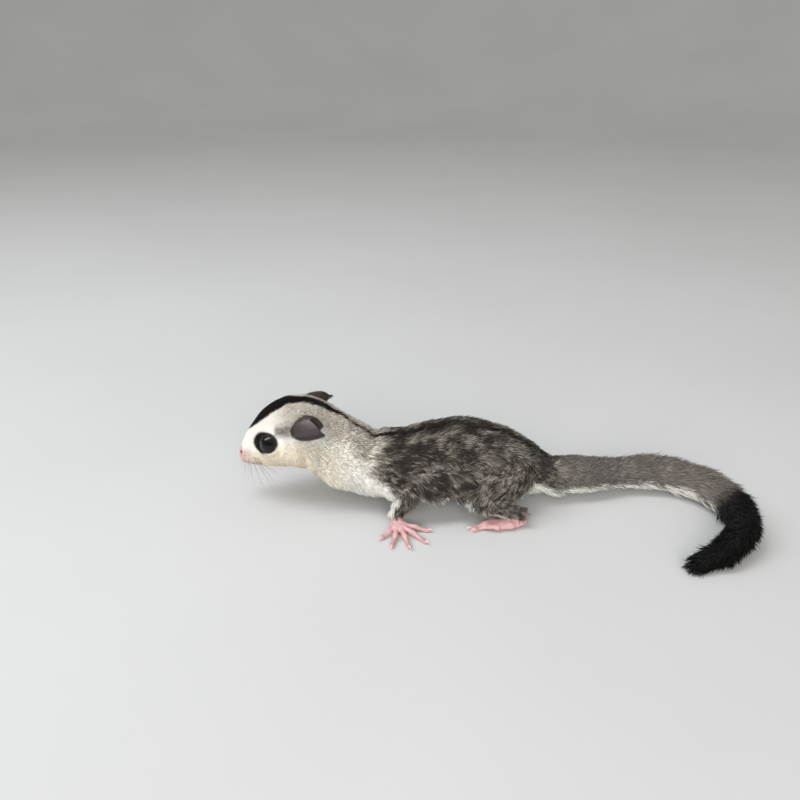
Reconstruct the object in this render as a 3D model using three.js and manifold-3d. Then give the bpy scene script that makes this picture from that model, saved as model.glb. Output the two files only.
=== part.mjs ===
// A young sugar glider, life size, crouching on all four feet with its tail laid round on the ground.
// Millimetres, +Z up. The nose points along -X and the left side of the animal faces -Y.
// Places along the body are measured back from the tip of the nose, and heights from the ground.
import * as THREE from 'three';
import { mergeVertices } from 'three/addons/utils/BufferGeometryUtils.js';
import Module from 'manifold-3d';

const wasm = await Module();
wasm.setup();

// Driving dimensions
const NOSE_HEIGHT = 18.5;
const GAP = 0.3; // kept between parts that touch
const LEFT = -1;
const RIGHT = 1;

// Cross-sections of the body, given at the middle of each. z is measured from the height of the nose
// tip. high and wide are half sizes out to the tips of the coat, lean tips the top forward in
// degrees, power shapes the outline (2 is an ellipse) and pear widens the lower half.
const SECTIONS = [
  { place: 'lips', x: 0.7, z: -0.3, high: 2.7, wide: 2.0, lean: 6, power: 2.3, pear: 0.0 },
  { place: 'whisker pad', x: 2.05, z: 0.8, high: 4.5, wide: 3.4, lean: 11, power: 2.3, pear: 0.1 },
  { place: 'snout', x: 4.7, z: 1.95, high: 6.8, wide: 4.85, lean: 13, power: 2.15, pear: 0.14 },
  { place: 'mouth corner', x: 7.55, z: 3.9, high: 9.1, wide: 6.4, lean: 10.5, power: 2.1, pear: 0.12 },
  { place: 'front of eye', x: 11, z: 6.1, high: 11.3, wide: 8.6, lean: 9, power: 2.1, pear: 0.12 },
  { place: 'back of eye', x: 15, z: 7.7, high: 13.0, wide: 10.6, lean: 6, power: 2.15, pear: 0.1 },
  { place: 'cheek', x: 19.5, z: 8.7, high: 13.8, wide: 12.3, lean: 4, power: 2.2, pear: 0.06 },
  { place: 'crown', x: 23.5, z: 8.7, high: 14.0, wide: 13.2, lean: 2, power: 2.2, pear: 0.04 },
  { place: 'ear', x: 27.5, z: 7.5, high: 14.4, wide: 13.1, lean: -2, power: 2.15, pear: 0.02 },
  { place: 'nape', x: 31, z: 5.8, high: 14.4, wide: 12.6, lean: -5, power: 2.1, pear: 0.0 },
  { place: 'neck', x: 35.5, z: 2.6, high: 14.6, wide: 12.6, lean: -8, power: 2.1, pear: 0.02 },
  { place: 'base of neck', x: 42, z: -0.6, high: 13.4, wide: 13.5, lean: -6, power: 2.1, pear: 0.04 },
  { place: 'shoulders', x: 49, z: -2.9, high: 11.9, wide: 14.4, lean: -2, power: 2.15, pear: 0.05 },
  { place: 'ribs', x: 58, z: -3.2, high: 11.9, wide: 15.2, lean: 2, power: 2.2, pear: 0.06 },
  { place: 'last ribs', x: 70, z: -1.9, high: 13.1, wide: 16.2, lean: 3, power: 2.2, pear: 0.08 },
  { place: 'loin', x: 82, z: -1.0, high: 14.0, wide: 16.6, lean: 0, power: 2.2, pear: 0.08 },
  { place: 'hips', x: 94, z: -2.2, high: 12.8, wide: 15.6, lean: -8, power: 2.15, pear: 0.06 },
  { place: 'rump', x: 104, z: -4.7, high: 10.1, wide: 12.6, lean: -16, power: 2.1, pear: 0.03 },
  { place: 'tail root', x: 112, z: -7.5, high: 7.3, wide: 9.0, lean: -19, power: 2.05, pear: 0.0 },
  { place: 'tail', x: 118, z: -9.7, high: 6.2, wide: 6.6, lean: -17, power: 2.0, pear: 0.0 },
];

// Lengths of the body loft, each a node, with the number of steps between their outlines. crowd
// sets the outlines closer at the front.
const BODY_SIDES = 24;
const BODY_PARTS = [
  { name: 'head', from: 0.7, to: 31.5, steps: 15, crowd: 1.35 },
  { name: 'neck', from: 31.5, to: 42.5, steps: 4, crowd: 1 },
  { name: 'chest', from: 42.5, to: 67, steps: 6, crowd: 1 },
  { name: 'belly', from: 67, to: 92, steps: 6, crowd: 1 },
  { name: 'rump', from: 92, to: 117, steps: 6, crowd: 1 },
];

// Face
const NOSE_PAD = { center: [1.5, 0, 0.7], half: [1.6, 2.0, 1.95] };
const NOSTRIL = { center: [1.25, 1.75, 1.55], half: [0.85, 0.6, 0.36], tip: 24 };
const CHIN = { center: [3.0, 0, -2.9], half: [2.2, 1.7, 1.3] };
const MOUTH_CORNER = 6.4; // section where the mouth ends
const LIP_RADIUS = 0.5;
const MOUTH_GROOVE = 0.3;
const EYE_RADIUS = 4.3;
const EYE_CENTER = { x: 13.5, y: 7.3, z: 7.6 }; // z from the height of the nose tip
const EYE_AXIS = { x: -0.46, y: 0.82, z: 0.35 };
const LID_THICKNESS = 0.65;
const LID_OPENING = 48; // degrees from the axis of the eye to the rim of the lids
const LID_FOOT = 100;

// Ears: a thin cup that rises from its root, folds over its ridge and ends in a free edge. Each row
// gives the root, ridge and edge at one place from the front of the ear to its tip, for the left ear.
const EAR_THICKNESS = 0.85;
const EAR_ROWS = [
  { root: [21.9, 11.6, 13.4], ridge: [21.3, 12.9, 15.4], edge: [21.9, 13.9, 13.4] },
  { root: [23.7, 10.6, 15.4], ridge: [23.5, 12.0, 18.4], edge: [24.0, 16.3, 13.2] },
  { root: [26.6, 10.0, 16.0], ridge: [26.6, 11.4, 20.3], edge: [27.4, 17.8, 13.4] },
  { root: [29.4, 10.0, 15.6], ridge: [30.0, 11.8, 20.0], edge: [30.9, 17.9, 14.1] },
  { root: [31.4, 10.8, 14.2], ridge: [33.2, 13.2, 17.3], edge: [34.6, 16.9, 15.0] },
];
const EAR_FOLD_AT = 0.42; // where the ridge lies between root and edge
// Share of the ear's length that is there at each place from root to edge: a notch behind the fold
const EAR_NOTCH = [
  { at: 0, reach: 1 },
  { at: 0.36, reach: 1 },
  { at: 0.5, reach: 0.62 },
  { at: 1, reach: 1 },
];
const FAR_EAR_LIFT = -1.6; // the right ear is held a little lower

// Limbs: stops along each piece with the radius of its coat there, y outward from the middle
const UPPER_ARM = [
  { at: [50, 9.0, 15.4], radius: 6.8 },
  { at: [56.5, 14.2, 14.0], radius: 5.9 },
  { at: [61.8, 17.6, 11.8], radius: 4.6 },
];
const FOREARM = [
  { at: [62.0, 17.9, 11.4], radius: 4.3 },
  { at: [60.4, 19.0, 8.0], radius: 3.5 },
  { at: [58.6, 20.0, 4.9], radius: 2.6 },
];
const THIGH = [
  { at: [101, 7.5, 14.0], radius: 9.0 },
  { at: [95, 14.0, 13.4], radius: 8.2 },
  { at: [88.8, 19.0, 11.4], radius: 5.7 },
];
const SHANK = [
  { at: [89.2, 19.6, 10.6], radius: 5.1 },
  { at: [96.0, 20.6, 7.6], radius: 4.1 },
  { at: [103.0, 20.4, 4.6], radius: 2.9 },
];

// Hands and feet. Angles run from straight out to the side, positive towards the tail.
const WRIST = [58.4, 20.2, 4.3];
const PALM = { center: [59.2, 23.6, 1.65], half: [3.7, 3.4, 1.95] };
const HAND_DIGITS = [
  { angle: -58, length: 6.6, thick: 0.92 },
  { angle: -26, length: 9.0, thick: 0.98 },
  { angle: 4, length: 10.0, thick: 1.0 },
  { angle: 34, length: 10.6, thick: 1.0 },
  { angle: 68, length: 8.6, thick: 0.96 },
];
const HAND_TURN = { [LEFT]: 14, [RIGHT]: -26 };
const ANKLE = [103.6, 20.4, 4.0];
const SOLE = { center: [98.2, 21.6, 1.6], half: [7.6, 3.1, 1.9], turn: -76 };
const TOE_ROOT = 5.0; // ahead of the middle of the sole
const FOOT_DIGITS = [
  { angle: -104, aside: 2.3, length: 6.4, thick: 0.9, claw: true },
  { angle: -95, aside: 0.9, length: 6.8, thick: 0.88, claw: true },
  { angle: -78, aside: -0.9, length: 8.6, thick: 1.0, claw: true },
  { angle: -58, aside: -2.3, length: 8.0, thick: 1.0, claw: true },
  { angle: -142, aside: 2.4, back: 5.2, length: 5.6, thick: 1.08, claw: false },
];
const DIGIT_SIDES = 5;
const CLAW_LENGTH = 1.9;

// Gliding membrane, folded along the flank from the elbow to the knee
const MEMBRANE = { from: 57, to: 96, hang: 8, thick: 1.8, edge: 0.9, ripples: 3.5, wave: 1.0 };

// Tail: its middle line seen from above, and the reach of the coat from that line at even steps
const TAIL_LINE = [
  [116.6, 0],
  [127, 0.8],
  [141, 3.2],
  [157, 3.2],
  [170.5, -3.8],
  [177.6, -15.5],
  [177.4, -29],
  [169.5, -40],
  [159, -46],
];
const TAIL_REACH = [6.4, 7.3, 7.8, 7.8, 7.5, 7.0, 6.4, 5.3, 2.8];
const TAIL_LENGTHS = 4;
const RINGS_A_LENGTH = 4; // rings of locks rooted on each length
const TAIL_ROOT_HEIGHT = 9.25;
const TAIL_ROOT_SPAN = 0.13; // part of the tail over which it comes down to the ground
const TAIL_PRESS = 0.12; // how far its coat is pressed in by the ground
const TAIL_CORE = 0.55; // share of the reach: flesh and the dense lower half of the coat
const TAIL_ROOT_CORE = 0.8; // the same share at the root, where the coat is short
const TAIL_SIDES = 8;
const LOCK = { around: 8, length: 13, wide: 5.0, thick: 1.1, sunk: 1.0, bend: 0.5, shoulder: 0.72 };
const LOCK_OUTLINE = [[1, 0.6], [-1, 0.6], [0, -1.1]]; // flat above with a keel below, in half widths
const LOCK_SEED = 7;

// Material colours, from the coat, bare skin and eyes of the animal
const FUR = new THREE.MeshStandardMaterial({ color: 0x9a938c, roughness: 0.95, metalness: 0 });
const PALE_FUR = new THREE.MeshStandardMaterial({ color: 0xe2dccf, roughness: 0.95, metalness: 0 });
const BARE_SKIN = new THREE.MeshStandardMaterial({ color: 0xe1aeb0, roughness: 0.6, metalness: 0 });
const EAR_SKIN = new THREE.MeshStandardMaterial({ color: 0x54484a, roughness: 0.7, metalness: 0 });
const EYE = new THREE.MeshStandardMaterial({ color: 0x120c0c, roughness: 0.08, metalness: 0 });

const vector = (x, y, z) => new THREE.Vector3(x, y, z);
const radians = THREE.MathUtils.degToRad;

const smoothCurve = (points) => new THREE.CatmullRomCurve3(points, false, 'centripetal');

// A place on one side of the animal, with its height from the ground
const onSide = ([x, y, z], side) => vector(x, side * y, z);

// Solids: closed meshes in and out of the library that joins and cuts them

function signedVolume(points, triangles) {
  let volume = 0;
  for (let i = 0; i < triangles.length; i += 3) {
    const [a, b, c] = [0, 1, 2].map((k) => vector().fromArray(points, 3 * triangles[i + k]));
    volume += a.dot(b.cross(c));
  }
  return volume;
}

function toSolid(geometry) {
  const bare = geometry.clone();
  bare.deleteAttribute('normal');
  bare.deleteAttribute('uv');
  const merged = mergeVertices(bare, 1e-4);
  const vertProperties = new Float32Array(merged.attributes.position.array);
  const triVerts = new Uint32Array(merged.index.array);
  if (signedVolume(vertProperties, triVerts) < 0) triVerts.reverse();
  return new wasm.Manifold(new wasm.Mesh({ numProp: 3, vertProperties, triVerts }));
}

function toGeometry(solid) {
  const mesh = solid.getMesh();
  const geometry = new THREE.BufferGeometry();
  geometry.setAttribute('position', new THREE.BufferAttribute(mesh.vertProperties, 3));
  geometry.setIndex(new THREE.BufferAttribute(mesh.triVerts, 1));
  geometry.computeVertexNormals();
  return geometry;
}

function largest(solid) {
  return solid.decompose().reduce((best, piece) => (piece.volume() > best.volume() ? piece : best));
}

function join(solids) {
  return solids.reduce((whole, solid) => whole.add(solid));
}

function cut(solid, tools) {
  return tools.reduce((rest, tool) => rest.subtract(tool), solid);
}

// A closed surface over a row of outlines, with a fan of triangles over each end, the last of which
// may run out to a tip
function skinOver(outlines, tip = null) {
  const count = outlines[0].length;
  const middle = (outline) => outline.reduce((sum, p) => sum.add(p), vector(0, 0, 0)).divideScalar(count);
  const points = [...outlines.flat(), middle(outlines[0]), tip ?? middle(outlines.at(-1))];
  const firstCap = points.length - 2;
  const lastCap = points.length - 1;
  const lastRow = (outlines.length - 1) * count;
  const triangles = [];
  for (let k = 0; k < count; k += 1) {
    const next = (k + 1) % count;
    for (let row = 0; row < lastRow; row += count) {
      triangles.push(row + k, row + next, row + count + next);
      triangles.push(row + k, row + count + next, row + count + k);
    }
    triangles.push(firstCap, next, k);
    triangles.push(lastCap, lastRow + k, lastRow + next);
  }
  const geometry = new THREE.BufferGeometry().setFromPoints(points);
  geometry.setIndex(triangles);
  return toSolid(geometry);
}

// A thin body between two grids of points with the same rows and columns, closed round its rim
function between(outer, inner) {
  const rows = outer.length;
  const columns = outer[0].length;
  const points = [...outer.flat(), ...inner.flat()];
  const half = rows * columns;
  const triangles = [];
  const quad = (a, b, c, d) => triangles.push(a, b, c, a, c, d);
  for (let r = 0; r + 1 < rows; r += 1) {
    for (let c = 0; c + 1 < columns; c += 1) {
      const a = r * columns + c;
      const b = a + 1;
      const d = a + columns;
      triangles.push(a, b, d + 1, a, d + 1, d);
      triangles.push(half + a, half + d + 1, half + b, half + a, half + d, half + d + 1);
    }
  }
  for (let c = 0; c + 1 < columns; c += 1) {
    const last = (rows - 1) * columns + c;
    quad(c + 1, c, half + c, half + c + 1);
    quad(last, last + 1, half + last + 1, half + last);
  }
  for (let r = 0; r + 1 < rows; r += 1) {
    const first = r * columns;
    const end = first + columns - 1;
    quad(first, first + columns, half + first + columns, half + first);
    quad(end + columns, end, half + end, half + end + columns);
  }
  const geometry = new THREE.BufferGeometry().setFromPoints(points);
  geometry.setIndex(triangles);
  return toSolid(geometry);
}

function ellipsoid(center, half, turns = {}, sides = 18) {
  const geometry = new THREE.SphereGeometry(1, sides, Math.round(sides * 0.6));
  geometry.scale(...half);
  geometry.rotateY(radians(turns.y ?? 0));
  geometry.rotateZ(radians(turns.z ?? 0));
  geometry.translate(center.x, center.y, center.z);
  return toSolid(geometry);
}

// Everything on the far side of a plane is kept when the block that this makes is intersected
function blockBeyond(point, direction) {
  const size = 400;
  const geometry = new THREE.BoxGeometry(size, size, size);
  geometry.translate(0, 0, size / 2);
  geometry.applyQuaternion(new THREE.Quaternion().setFromUnitVectors(vector(0, 0, 1), direction));
  geometry.translate(point.x, point.y, point.z);
  return toSolid(geometry);
}

const ABOVE_GROUND = blockBeyond(vector(0, 0, 0), vector(0, 0, 1));

// Repeatable random numbers between two bounds
function seededDraw(seed) {
  const period = 2 ** 32;
  let state = seed;
  return (low, high) => {
    state = (state * 1664525 + 1013904223) % period;
    return low + ((high - low) * state) / period;
  };
}

// Smooth value of one measure between rows that are ordered by x, without overshoot
function smoothValue(rows, name, x) {
  const last = rows.length - 1;
  const secant = (i) => (rows[i + 1][name] - rows[i][name]) / (rows[i + 1].x - rows[i].x);
  const slope = (i) => {
    if (i === 0) return secant(0);
    if (i === last) return secant(last - 1);
    const [before, after] = [secant(i - 1), secant(i)];
    return before * after <= 0 ? 0 : (2 * before * after) / (before + after);
  };
  let i = 0;
  while (i < last - 1 && rows[i + 1].x < x) i += 1;
  const span = rows[i + 1].x - rows[i].x;
  const t = THREE.MathUtils.clamp((x - rows[i].x) / span, 0, 1);
  const [t2, t3] = [t * t, t * t * t];
  return (
    (2 * t3 - 3 * t2 + 1) * rows[i][name] +
    (t3 - 2 * t2 + t) * span * slope(i) +
    (3 * t2 - 2 * t3) * rows[i + 1][name] +
    (t3 - t2) * span * slope(i + 1)
  );
}

// A point on the body at one section, by its angle round it: 0 is the right side and 90 the back
function bodyPoint(x, angle, grow = 0) {
  const value = (name) => smoothValue(SECTIONS, name, x);
  const [c, s] = [Math.cos(radians(angle)), Math.sin(radians(angle))];
  const bend = 2 / value('power');
  const across = Math.sign(c) * Math.abs(c) ** bend * (value('wide') + grow);
  const rise = Math.sign(s) * Math.abs(s) ** bend;
  const height = rise * (value('high') + grow);
  const lean = radians(value('lean'));
  const y = across * (1 - value('pear') * rise);
  return vector(x - height * Math.sin(lean), y, NOSE_HEIGHT + value('z') + height * Math.cos(lean));
}

function bodyOutline(x, grow) {
  return Array.from({ length: BODY_SIDES }, (_, k) => bodyPoint(x, (360 * k) / BODY_SIDES, grow));
}

function bodyLength({ from, to, steps, crowd = 1 }, grow = 0) {
  const outlines = [];
  for (let k = 0; k <= steps; k += 1) {
    const x = THREE.MathUtils.lerp(from, to, (k / steps) ** crowd);
    outlines.push(bodyOutline(x, grow));
  }
  return skinOver(outlines);
}

// A rounded limb or digit through stops, which may be grown for the gap that its neighbours keep
function limb(stops, { sides = 9, steps = 4, grow = 0, bends = [1.15, 0.6] } = {}) {
  const curve = smoothCurve(stops.map((stop) => stop.at));
  const radiusAt = (t) => {
    const place = t * (stops.length - 1);
    const i = Math.min(Math.floor(place), stops.length - 2);
    const blend = THREE.MathUtils.smoothstep(place - i, 0, 1);
    return THREE.MathUtils.lerp(stops[i].radius, stops[i + 1].radius, blend) + grow;
  };
  const outlines = [];
  const addOutline = (center, along, radius) => {
    const level = Math.abs(along.z) > 0.8 ? vector(1, 0, 0) : vector(0, 0, 1);
    const side = along.clone().cross(level).normalize();
    const up = side.clone().cross(along).normalize();
    const outline = [];
    for (let k = 0; k < sides; k += 1) {
      const angle = (2 * Math.PI * k) / sides;
      const out = side.clone().multiplyScalar(Math.cos(angle) * radius);
      outline.push(center.clone().add(out).addScaledVector(up, Math.sin(angle) * radius));
    }
    outlines.push(outline);
  };
  const addEnd = (t, sign, ends) => {
    const along = curve.getTangent(t);
    for (const bend of ends) {
      const reach = sign * radiusAt(t) * Math.sin(bend);
      addOutline(curve.getPoint(t).addScaledVector(along, reach), along, radiusAt(t) * Math.cos(bend));
    }
  };
  addEnd(0, -1, bends);
  for (let k = 0; k <= steps; k += 1) {
    const t = k / steps;
    addOutline(curve.getPoint(t), curve.getTangent(t), radiusAt(t));
  }
  addEnd(1, 1, bends.toReversed());
  return skinOver(outlines);
}

const stopsOn = (stops, side) => stops.map(({ at, radius }) => ({ at: onSide(at, side), radius }));

// Head: the loft with chin, lips, lids and sockets

const fromNose = ([x, y, z], side = 1) => vector(x, side * y, NOSE_HEIGHT + z);

// The mouth line keeps to the surface of the head from one corner round the front to the other
function mouthLine() {
  const line = [];
  const fall = [-26, -36, -48, -66];
  const places = [MOUTH_CORNER, 4.2, 2.3, 1.2];
  for (const [i, x] of places.entries()) line.push(bodyPoint(x, 180 - fall[i]));
  line.push(bodyPoint(0.8, -90).add(vector(-0.1, 0, 0.35)));
  for (const point of line.slice(0, -1).reverse()) line.push(vector(point.x, -point.y, point.z));
  return line;
}

function lips() {
  const line = mouthLine();
  const shift = LIP_RADIUS * 0.85;
  const rim = (rise, radius) => {
    const stops = line.map((p) => ({ at: p.clone().add(vector(0, 0, rise)), radius }));
    return limb(stops, { sides: 4, steps: 8, bends: [0.9] });
  };
  return [rim(shift, LIP_RADIUS), rim(-shift, LIP_RADIUS * 0.9)];
}

function mouthGroove() {
  return limb(mouthLine().map((at) => ({ at, radius: MOUTH_GROOVE })), { sides: 3, steps: 8, bends: [] });
}

const eyeCenter = (side) => fromNose([EYE_CENTER.x, EYE_CENTER.y, EYE_CENTER.z], side);
const eyeAxis = (side) => vector(EYE_AXIS.x, side * EYE_AXIS.y, EYE_AXIS.z).normalize();

// Lids: a ring of skin over the ball, open in front as an almond and thickest above
function lids(side) {
  const center = eyeCenter(side);
  const axis = eyeAxis(side);
  const back = vector(0, 0, 1).cross(axis).multiplyScalar(side).normalize();
  const up = axis.clone().cross(back).multiplyScalar(side).normalize();
  const inner = EYE_RADIUS + 1.3 * GAP;
  const outlines = [];
  const around = 16;
  for (let k = 0; k < around; k += 1) {
    const turn = (2 * Math.PI * k) / around;
    const outward = back.clone().multiplyScalar(Math.cos(turn)).addScaledVector(up, Math.sin(turn));
    const rim = LID_OPENING + 4 * Math.cos(2 * turn) - 2 * Math.sin(turn);
    const thick = LID_THICKNESS * (1 + 0.25 * Math.sin(turn));
    const at = (degrees, radius) =>
      center
        .clone()
        .addScaledVector(axis, Math.cos(radians(degrees)) * radius)
        .addScaledVector(outward, Math.sin(radians(degrees)) * radius);
    outlines.push([
      at(rim, inner),
      at(LID_FOOT, inner - 0.4),
      at(LID_FOOT, inner + thick * 0.3),
      at(rim + 25, inner + thick * 0.8),
      at(rim + 6, inner + thick),
      at(rim, inner + thick * 0.6),
    ]);
  }
  return ringOver(outlines);
}

// A closed ring over outlines that run round and meet themselves
function ringOver(outlines) {
  const count = outlines[0].length;
  const total = outlines.length * count;
  const triangles = [];
  for (let row = 0; row < outlines.length; row += 1) {
    for (let k = 0; k < count; k += 1) {
      const a = row * count + k;
      const b = row * count + ((k + 1) % count);
      const c = (a + count) % total;
      const d = (b + count) % total;
      triangles.push(a, b, d, a, d, c);
    }
  }
  const geometry = new THREE.BufferGeometry().setFromPoints(outlines.flat());
  geometry.setIndex(triangles);
  return toSolid(geometry);
}

function eyeball(side, grow = 0) {
  const geometry = new THREE.IcosahedronGeometry(EYE_RADIUS + grow, grow > 0 ? 2 : 3);
  const center = eyeCenter(side);
  geometry.translate(center.x, center.y, center.z);
  return toSolid(geometry);
}

function nosePad(grow = 0) {
  return ellipsoid(fromNose(NOSE_PAD.center), NOSE_PAD.half.map((size) => size + grow), {}, 10);
}

function nose() {
  const nostrils = [LEFT, RIGHT].map((side) =>
    ellipsoid(fromNose(NOSTRIL.center, side), NOSTRIL.half, { y: NOSTRIL.tip, z: side * 40 }, 6),
  );
  return cut(nosePad(), nostrils);
}

function head(loft) {
  const chin = ellipsoid(fromNose(CHIN.center), CHIN.half, {}, 10);
  const full = join([loft, chin, ...lips(), lids(LEFT), lids(RIGHT)]);
  return cut(full, [mouthGroove(), nosePad(GAP), eyeball(LEFT, GAP), eyeball(RIGHT, GAP)]);
}

// Ears

// Point at part t of a curve that starts at the root, passes the ridge and ends at the free edge
function foldPoint(row, t) {
  const weight = 2 * EAR_FOLD_AT * (1 - EAR_FOLD_AT);
  const control = row.ridge
    .clone()
    .addScaledVector(row.root, -((1 - EAR_FOLD_AT) ** 2))
    .addScaledVector(row.edge, -(EAR_FOLD_AT ** 2))
    .divideScalar(weight);
  return row.root
    .clone()
    .multiplyScalar((1 - t) ** 2)
    .addScaledVector(control, 2 * t * (1 - t))
    .addScaledVector(row.edge, t * t);
}

function earReach(t) {
  const next = EAR_NOTCH.findIndex(({ at }) => at >= t);
  if (next < 1) return EAR_NOTCH[0].reach;
  const [before, after] = [EAR_NOTCH[next - 1], EAR_NOTCH[next]];
  return before.reach + ((after.reach - before.reach) * (t - before.at)) / (after.at - before.at);
}

function ear(side, lift) {
  const rowsAcross = 8;
  const stepsOver = 5;
  const curveOf = (name) => smoothCurve(EAR_ROWS.map((row) => fromNose(row[name], side)));
  const curves = ['root', 'ridge', 'edge'].map(curveOf);
  const grid = [];
  for (let r = 0; r <= rowsAcross; r += 1) {
    const line = [];
    for (let k = 0; k <= stepsOver; k += 1) {
      const place = (r / rowsAcross) * earReach(k / stepsOver);
      const [root, ridge, edge] = curves.map((curve) => curve.getPoint(place));
      const raise = lift * Math.sin(Math.PI * place);
      ridge.z += raise * 0.8;
      edge.add(vector(0, side * raise * 0.6, raise * 1.3));
      line.push(foldPoint({ root, ridge, edge }, k / stepsOver));
    }
    grid.push(line);
  }
  const normalAt = (r, k) => {
    const alongRow = grid[r][Math.min(k + 1, stepsOver)].clone().sub(grid[r][Math.max(k - 1, 0)]);
    const acrossRows = grid[Math.min(r + 1, rowsAcross)][k].clone().sub(grid[Math.max(r - 1, 0)][k]);
    return acrossRows.cross(alongRow).normalize().multiplyScalar(-side);
  };
  const shell = (sign) =>
    grid.map((line, r) =>
      line.map((point, k) => {
        const thick = EAR_THICKNESS * (1 - (0.3 * k) / stepsOver);
        return point.clone().addScaledVector(normalAt(r, k), (sign * thick) / 2);
      }),
    );
  return between(shell(1), shell(-1));
}

// Hands and feet

const heading = (degrees, side) => vector(Math.sin(radians(degrees)), side * Math.cos(radians(degrees)), 0);

function digit(root, direction, length, thick, clawed) {
  const heights = [2.0, 2.2, 1.9, 1.15, 0.72, 0.72];
  const places = [0, 0.22, 0.45, 0.72, 0.92, 1];
  const radii = [1.15, 0.88, 1.05, 0.78, 0.95, 0.7];
  const stops = places.map((place, i) => ({
    at: vector(root.x, root.y, heights[i]).addScaledVector(direction, place * length),
    radius: radii[i] * thick,
  }));
  const finger = limb(stops, { sides: DIGIT_SIDES, steps: 4, bends: [0.9] });
  if (!clawed) return finger;
  const tip = stops.at(-1).at;
  const claw = limb(
    [
      { at: tip.clone().add(vector(0, 0, 0.35)), radius: 0.45 },
      { at: tip.clone().addScaledVector(direction, CLAW_LENGTH * 0.6).setZ(1.15), radius: 0.36 },
      { at: tip.clone().addScaledVector(direction, CLAW_LENGTH).setZ(0.55), radius: 0.16 },
    ],
    { sides: 3, steps: 2, bends: [] },
  );
  return finger.add(claw);
}

function hand(side) {
  const center = onSide(PALM.center, side);
  const wrist = limb([{ at: onSide(WRIST, side), radius: 2.2 }, { at: center, radius: 1.9 }], {
    sides: 7,
    steps: 1,
    bends: [0.9],
  });
  const palm = ellipsoid(center, PALM.half, {}, 8);
  const digits = HAND_DIGITS.map(({ angle, length, thick }) => {
    const direction = heading(angle + HAND_TURN[side], side);
    const root = center.clone().addScaledVector(direction, 2.0);
    return digit(root, direction, length, thick, true);
  });
  return join([palm, wrist, ...digits]);
}

function foot(side) {
  const center = onSide(SOLE.center, side);
  const forward = heading(SOLE.turn, side);
  const outward = vector(forward.y * side, -forward.x * side, 0).multiplyScalar(-1);
  const turn = THREE.MathUtils.radToDeg(Math.atan2(forward.y, forward.x));
  const sole = ellipsoid(center, SOLE.half, { z: turn }, 9);
  const heel = limb([{ at: onSide(ANKLE, side), radius: 2.5 }, { at: center, radius: 1.8 }], {
    sides: 7,
    steps: 1,
    bends: [0.9],
  });
  const digits = FOOT_DIGITS.map(({ angle, aside, back = 0, length, thick, claw }) => {
    const root = center
      .clone()
      .addScaledVector(forward, TOE_ROOT - back)
      .addScaledVector(outward, -aside);
    return digit(root, heading(angle, side), length, thick, claw);
  });
  return join([sole, heel, ...digits]);
}

// Gliding membrane: a soft fold that hangs from the flank, with a wavy free edge
function membrane(side) {
  const columns = 11;
  const rows = 2;
  const middle = [];
  const bulge = [];
  for (let r = 0; r <= rows; r += 1) {
    const down = r / rows;
    const line = [];
    const waves = [];
    for (let c = 0; c <= columns; c += 1) {
      const along = c / columns;
      const x = MEMBRANE.from + (MEMBRANE.to - MEMBRANE.from) * along;
      const root = bodyPoint(x, side === RIGHT ? 4 : 176, -1.2);
      const taper = Math.sin(Math.PI * along) ** 0.35;
      const ripple = Math.sin(2 * Math.PI * MEMBRANE.ripples * along);
      const drop = MEMBRANE.hang * taper * down * (1 + 0.12 * ripple);
      const out = 2.6 * Math.sin(down * 1.9) + MEMBRANE.wave * ripple * down;
      line.push(root.add(vector(0, side * out, -drop)));
      waves.push(THREE.MathUtils.lerp(MEMBRANE.thick, MEMBRANE.edge, down));
    }
    middle.push(line);
    bulge.push(waves);
  }
  const face = (sign) =>
    middle.map((line, r) => line.map((p, c) => p.clone().add(vector(0, (sign * side * bulge[r][c]) / 2, 0))));
  return between(face(1), face(-1));
}

// Tail: a core along its middle line, covered with flat locks that rise from it and lie back

const tailCurve = smoothCurve(TAIL_LINE.map(([x, y]) => vector(x, y, 0)));
const TAIL_SPAN = tailCurve.getLength();

function tailReach(t) {
  const place = THREE.MathUtils.clamp(t, 0, 0.999) * (TAIL_REACH.length - 1);
  const i = Math.floor(place);
  return THREE.MathUtils.lerp(TAIL_REACH[i], TAIL_REACH[i + 1], place - i);
}

function tailCore(t) {
  const landed = THREE.MathUtils.smoothstep(t, 0, TAIL_ROOT_SPAN);
  return THREE.MathUtils.lerp(TAIL_ROOT_CORE, TAIL_CORE, landed) * tailReach(t);
}

// The middle line at part t of its length, which may run a little past either end
function tailCenter(t) {
  const inside = THREE.MathUtils.clamp(t, 0, 1);
  const center = tailCurve.getPointAt(inside);
  center.addScaledVector(tailCurve.getTangentAt(inside), (t - inside) * TAIL_SPAN);
  const landed = THREE.MathUtils.smoothstep(t, 0, TAIL_ROOT_SPAN);
  center.z = THREE.MathUtils.lerp(TAIL_ROOT_HEIGHT, tailReach(t) - TAIL_PRESS, landed);
  return center;
}

function tailFrame(t) {
  const step = 0.01;
  const along = tailCenter(t + step).sub(tailCenter(t - step)).normalize();
  const across = vector(0, 0, 1).cross(along).normalize();
  return { center: tailCenter(t), along, across, up: along.clone().cross(across) };
}

function tailPoint(t, angle, reach) {
  const { center, across, up } = tailFrame(t);
  return center.addScaledVector(across, Math.cos(angle) * reach).addScaledVector(up, Math.sin(angle) * reach);
}

// A closed length round the middle line, given as places along it with the reach at each
function tailLoft(rows) {
  const turns = Array.from({ length: TAIL_SIDES }, (_, s) => (2 * Math.PI * s) / TAIL_SIDES);
  return skinOver(rows.map(({ t, reach }) => turns.map((angle) => tailPoint(t, angle, reach))));
}

function tailCoreLength(from, to) {
  const steps = 4;
  const rows = [];
  for (let k = 0; k <= steps; k += 1) {
    const t = THREE.MathUtils.lerp(from, to, k / steps);
    rows.push({ t, reach: tailCore(t) });
  }
  return tailLoft(rows);
}

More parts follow.
